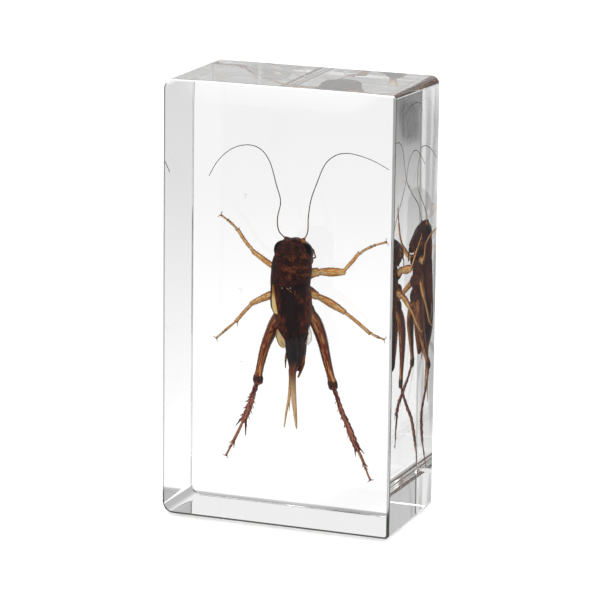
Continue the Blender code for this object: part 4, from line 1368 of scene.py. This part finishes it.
def wing_veins(rows):
    """Routes of the main veins: along the wing, and slanting across it."""
    rings = wing_rings(rows)
    routes = [rings[1:-1, column] for column in VEIN_COLUMNS]
    for start in range(VEIN_START, len(rings) - VEIN_LENGTH - 1, VEIN_STEP):
        routes.append([rings[start + step, 1 + step * 2] for step in range(VEIN_LENGTH)])
    return routes


def vein_material():
    """Dark brown over the back, and broken gold on the right shoulder."""
    look = Look("vein_brown")
    cloud = look.noise(look.here, 1.0)
    dark = look.mix(paint(40, 26, 26), paint(78, 44, 34), look.step(cloud, 0.4, 0.6))
    gold = look.step(look.x, 2.3, 2.6) * look.step(cloud, 0.4, 0.55)
    return look.done(look.mix(dark, paint(176, 122, 64), gold), 0.4 + cloud * 0.2, 0.06)


def build_wings(cricket):
    """Both forewings with their veins, the folded hind wings, the loose lobes and the two tails."""
    pieces = []
    vein_look = vein_material()
    for side, rows in (("left", FOREWING_LEFT), ("right", FOREWING_RIGHT)):
        look = wing_material(cricket, f"forewing_{side}", side == "left")
        pieces.append(build_forewing(f"forewing_{side}", rows, look))
        pieces.append(whip(f"veins_{side}", vein_look, wing_veins(rows), *THREADS["vein"]))
    folded, gold = tail_material(cricket, "folded_wing"), tail_material(cricket, "tail_gold")
    pieces.append(limbs("folded_hindwings", folded, [FOLDED_HINDWINGS], "folded"))
    pieces.append(limbs("wing_tails", gold, TAILS, "tail"))
    lobes = (
        ("wing_lobe_left", LOBE_LEFT, paint(255, 224, 160), paint(150, 92, 44), 0.95),
        ("wing_lobe_right", LOBE_RIGHT, paint(250, 240, 222), paint(142, 100, 68), 0.3),
    )
    for name, rows, *membrane in lobes:
        pieces.append(limbs(name, lobe_material(name, *membrane), [rows], "lobe"))
    return pieces


def build_specks():
    """The bubbles, painted white as glints, and the scratch on the wings, and the lint in the resin."""
    bubbles = Shape()
    for middle in BUBBLES:
        bubbles.ball(middle, (BUBBLE_RADIUS,) * 3, "bubble")
    # The bubbles' white is a painted glint.
    white = plain_material("bubble_white", paint(250, 248, 240), paint(214, 206, 190), 4.0, 0.2)
    gold = plain_material("scratch_gold", paint(206, 150, 96), paint(150, 96, 54), 2.0, 0.4)
    scratch = whip("scratch", gold, [through(SCRATCH, CURL_STEPS)], *THREADS["scratch"])
    grey = plain_material("lint_grey", paint(226, 224, 220), paint(190, 186, 180), 2.0, 0.6)
    lint = whip("lint", grey, [through(curl, CURL_STEPS) for curl in LINT], *THREADS["lint"])
    return [bubbles.finish("bubbles", white), scratch, lint]


def tail_material(cricket, name):
    """Folded membrane: near-black at the top, red-brown where it narrows, and gold towards the tips."""
    look = Look(name)
    x, y, along = look.limb()
    fibre = look.noise(look.vector(x * 3.0, y * 3.0, along * 0.12), 3.0)
    z = look.z + fibre * 2.0
    streak = look.step(fibre, 0.42, 0.6)
    tone = look.mix(paint(158, 98, 68), paint(92, 50, 40), streak)
    tone = look.mix(tone, cricket.wing, look.step(z, 25.4, 28.0))
    gold = look.mix(paint(214, 154, 106), paint(255, 230, 178), streak)
    tone = look.mix(gold, tone, look.step(z, 21.5, 26.0))
    tone = look.mix(tone, cricket.rim, look.step(look.absolute(x), 0.8, 0.98) * 0.5)
    return look.done(tone, 0.4 + fibre * 0.15, 0.3, normal=look.bump(fibre))


def lobe_material(name, middle, edge, cover):
    """A loose scrap of thin membrane, with a darker rim and faint veins along it."""
    look = Look(name)
    x, _, along = look.limb()
    vein = look.noise(look.vector(x * 2.0, 0.0, along * 0.35), 1.5, distortion=0.4)
    rim = look.step(look.absolute(x), 0.72, 0.92)
    tone = look.mix(look.mix(middle, edge, look.step(vein, 0.52, 0.66) * 0.75), edge, rim)
    return look.done(tone, 0.35 + vein * 0.1, 0.3, alpha=cover + rim * (1.0 - cover) * 0.7)


def limb_place(stations, share):
    """The point at this share of a limb's length, the limb's radius and its direction there."""
    curve = through(stations, ROUTE_STEPS)
    place = share * (len(curve) - 1)
    index = min(int(place), len(curve) - 2)
    way = curve[index + 1] - curve[index]
    row = curve[index] + way * (place - index)
    return row[:3], row[3], unit(way[:3])


def spine_material():
    """Dark brown where a spine is thick, and golden where it is thin."""
    look = Look("spine_brown")
    cloud = look.noise(look.here, 1.5, 2.0, 0.5)
    thick = look.kept("thick") * (1 / MM) + cloud * 0.03
    tone = look.mix(paint(206, 150, 88), paint(96, 52, 42), look.step(thick, 0.14, 0.17))
    return look.done(tone, 0.35 + cloud * 0.1, 0.2)


def build_leg(name, look):
    """One leg: thigh, shin, a foot of three joints, and two hooked claws."""
    leg = LEGS[name]
    shape = Shape()
    for limb in ("trochanter", "femur"):
        if limb in leg:
            shape.loft(leg[limb], "thigh")
    shin = through(leg["tibia"], SHIN_STEPS)
    if name in SHINS:
        shin[:, 3:] *= 1 + SHIN_RIPPLE * np.sin(np.arange(len(shin)) * SHIN_BEAT)[:, None]
    shape.loft(shin, "shin")
    foot = through(leg["tarsus"], FOOT_STEPS)
    last = len(foot) - 1
    for start, end in zip(FOOT_JOINTS, FOOT_JOINTS[1:]):
        rows = foot[int(start * last) : int(end * last) + 1].copy()
        rows[:, 3:] *= np.linspace(*JOINT_SWELL, len(rows))[:, None]
        shape.loft(rows, "foot")
    root, _, way = limb_place(leg["tarsus"], CLAW_PLACE)
    side = unit(np.cross(way, DEPTH_WAY))
    for sign in (-1, 1):
        claw = []
        for along, across, share in CLAW:
            point = root + (way * along + side * sign * across) * CLAW_LENGTH
            claw.append((*point, CLAW_RADIUS * share, CLAW_RADIUS * share))
        shape.loft(claw, "claw")
    return shape.finish(f"leg_{name}", look)


def build_spines():
    """The spines and spurs of all legs."""
    spines = []
    for name, rows_of in SPINES.items():
        for limb, rows in rows_of.items():
            for share, along, across, deep, long, radius in rows:
                middle, thick, way = limb_place(LEGS[name][limb], share)
                out = unit(np.cross(way, DEPTH_WAY)) * across + np.array(DEPTH_WAY) * deep
                root = middle + unit(out) * thick * SPINE_SEAT
                spines.append((root, way * along + out, long, radius))
    return spikes("leg_spines", spine_material(), *zip(*spines))


def build_legs(cricket):
    """Six legs, their bristles and their spines."""
    hair = plain_material("bristle_brown", paint(130, 88, 52), paint(70, 42, 28), 1.0, 0.5)
    small = (cricket.gold, cricket.gold_light, cricket.rim, 1.6, 0.5)
    hind = (cricket.rust, cricket.rust_light, paint(48, 26, 24), 1.5, 0.18)
    pieces = []
    for name in LEGS:
        shin = SHINS.get(name)
        leg = build_leg(name, leg_material(f"leg_{name}", *(hind if shin else small), shin))
        pieces.append(leg)
        seed = cricket.seed + len(pieces)
        pieces.append(bristles(f"bristles_{name}", hair, leg, cricket.bristles, *BRISTLE, seed))
    return [*pieces, build_spines()]


def antenna_material():
    """Brown at the root and grey towards the tip."""
    look = Look("antenna")
    cloud = look.noise(look.here, 0.4, 2.0, 0.5)
    height = look.step(look.z + cloud * 2.0, 46.5, 53.0)
    return look.done(look.mix(paint(110, 70, 48), paint(112, 98, 92), height), 0.4 + cloud * 0.2, 0.2)


def build_antennae(cricket):
    """Two long ringed antennae."""
    routes = [through(route, ROUTE_STEPS) for route in ANTENNAE]
    return [whip("antennae", antenna_material(), routes, cricket.antenna / MM, *ANTENNA_RINGS)]


class CRICKET_OT_studio(Operator):
    """Sets up the pale floor, the even light and the camera"""

    bl_idname = "cricket.studio"
    bl_label = "Studio"

    def execute(self, context):
        build_studio(context.scene.cricket_studio, context.scene.cricket_block)
        return {"FINISHED"}


class CRICKET_OT_block(Operator):
    """Casts the clear block in place of its two halves"""

    bl_idname = "cricket.block"
    bl_label = "Resin Block"

    def execute(self, context):
        block = build_block(context.scene.cricket_block)
        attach(block, "root")
        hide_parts("resin_front", "resin_back")
        return {"FINISHED"}


class CRICKET_OT_head(Operator):
    """Builds the head, the eyes, the palps and the antennae's sockets"""

    bl_idname = "cricket.head"
    bl_label = "Head"

    def execute(self, context):
        ride_as_cricket(*build_head(context.scene.cricket_specimen))
        return {"FINISHED"}


class CRICKET_OT_trunk(Operator):
    """Builds the neck shield, the thorax, the abdomen and the tail feelers"""

    bl_idname = "cricket.trunk"
    bl_label = "Trunk"

    def execute(self, context):
        ride_as_cricket(*build_trunk(context.scene.cricket_specimen))
        return {"FINISHED"}


class CRICKET_OT_wings(Operator):
    """Builds both pairs of wings, the loose lobes and the tails, and the specks over them"""

    bl_idname = "cricket.wings"
    bl_label = "Wings"

    def execute(self, context):
        ride_as_cricket(*build_wings(context.scene.cricket_specimen), *build_specks())
        return {"FINISHED"}


class CRICKET_OT_legs(Operator):
    """Builds the six legs with their spines and bristles"""

    bl_idname = "cricket.legs"
    bl_label = "Legs"

    def execute(self, context):
        ride_as_cricket(*build_legs(context.scene.cricket_specimen))
        return {"FINISHED"}


class CRICKET_OT_antennae(Operator):
    """Builds the two antennae"""

    bl_idname = "cricket.antennae"
    bl_label = "Antennae"

    def execute(self, context):
        ride_as_cricket(*build_antennae(context.scene.cricket_specimen))
        return {"FINISHED"}


class CRICKET_PT_panel(Panel):
    """Lists the steps that build the cricket and its block"""

    bl_label = "Cricket in Clear Block"
    bl_idname = "CRICKET_PT_panel"
    bl_space_type = "VIEW_3D"
    bl_region_type = "UI"
    bl_category = "Cricket"

    def draw(self, context):
        for step in STEPS:
            self.layout.operator(step.bl_idname)


STEPS = (
    CRICKET_OT_studio,
    CRICKET_OT_block,
    CRICKET_OT_head,
    CRICKET_OT_trunk,
    CRICKET_OT_wings,
    CRICKET_OT_legs,
    CRICKET_OT_antennae,
)
SETTINGS = {
    "cricket_block": BlockSettings,
    "cricket_specimen": CricketSettings,
    "cricket_studio": StudioSettings,
}


def register():
    for kind in (*SETTINGS.values(), *STEPS, CRICKET_PT_panel):
        bpy.utils.register_class(kind)
    for name, kind in SETTINGS.items():
        setattr(bpy.types.Scene, name, PointerProperty(type=kind))


def unregister():
    for name in SETTINGS:
        delattr(bpy.types.Scene, name)
    for kind in (CRICKET_PT_panel, *reversed(STEPS), *SETTINGS.values()):
        bpy.utils.unregister_class(kind)


def main():
    register()
    bpy.ops.cricket.studio()
    bpy.ops.cricket.block()
    bpy.ops.cricket.head()
    bpy.ops.cricket.trunk()
    bpy.ops.cricket.wings()
    bpy.ops.cricket.legs()
    bpy.ops.cricket.antennae()
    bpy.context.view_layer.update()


if __name__ == "__main__":
    main()
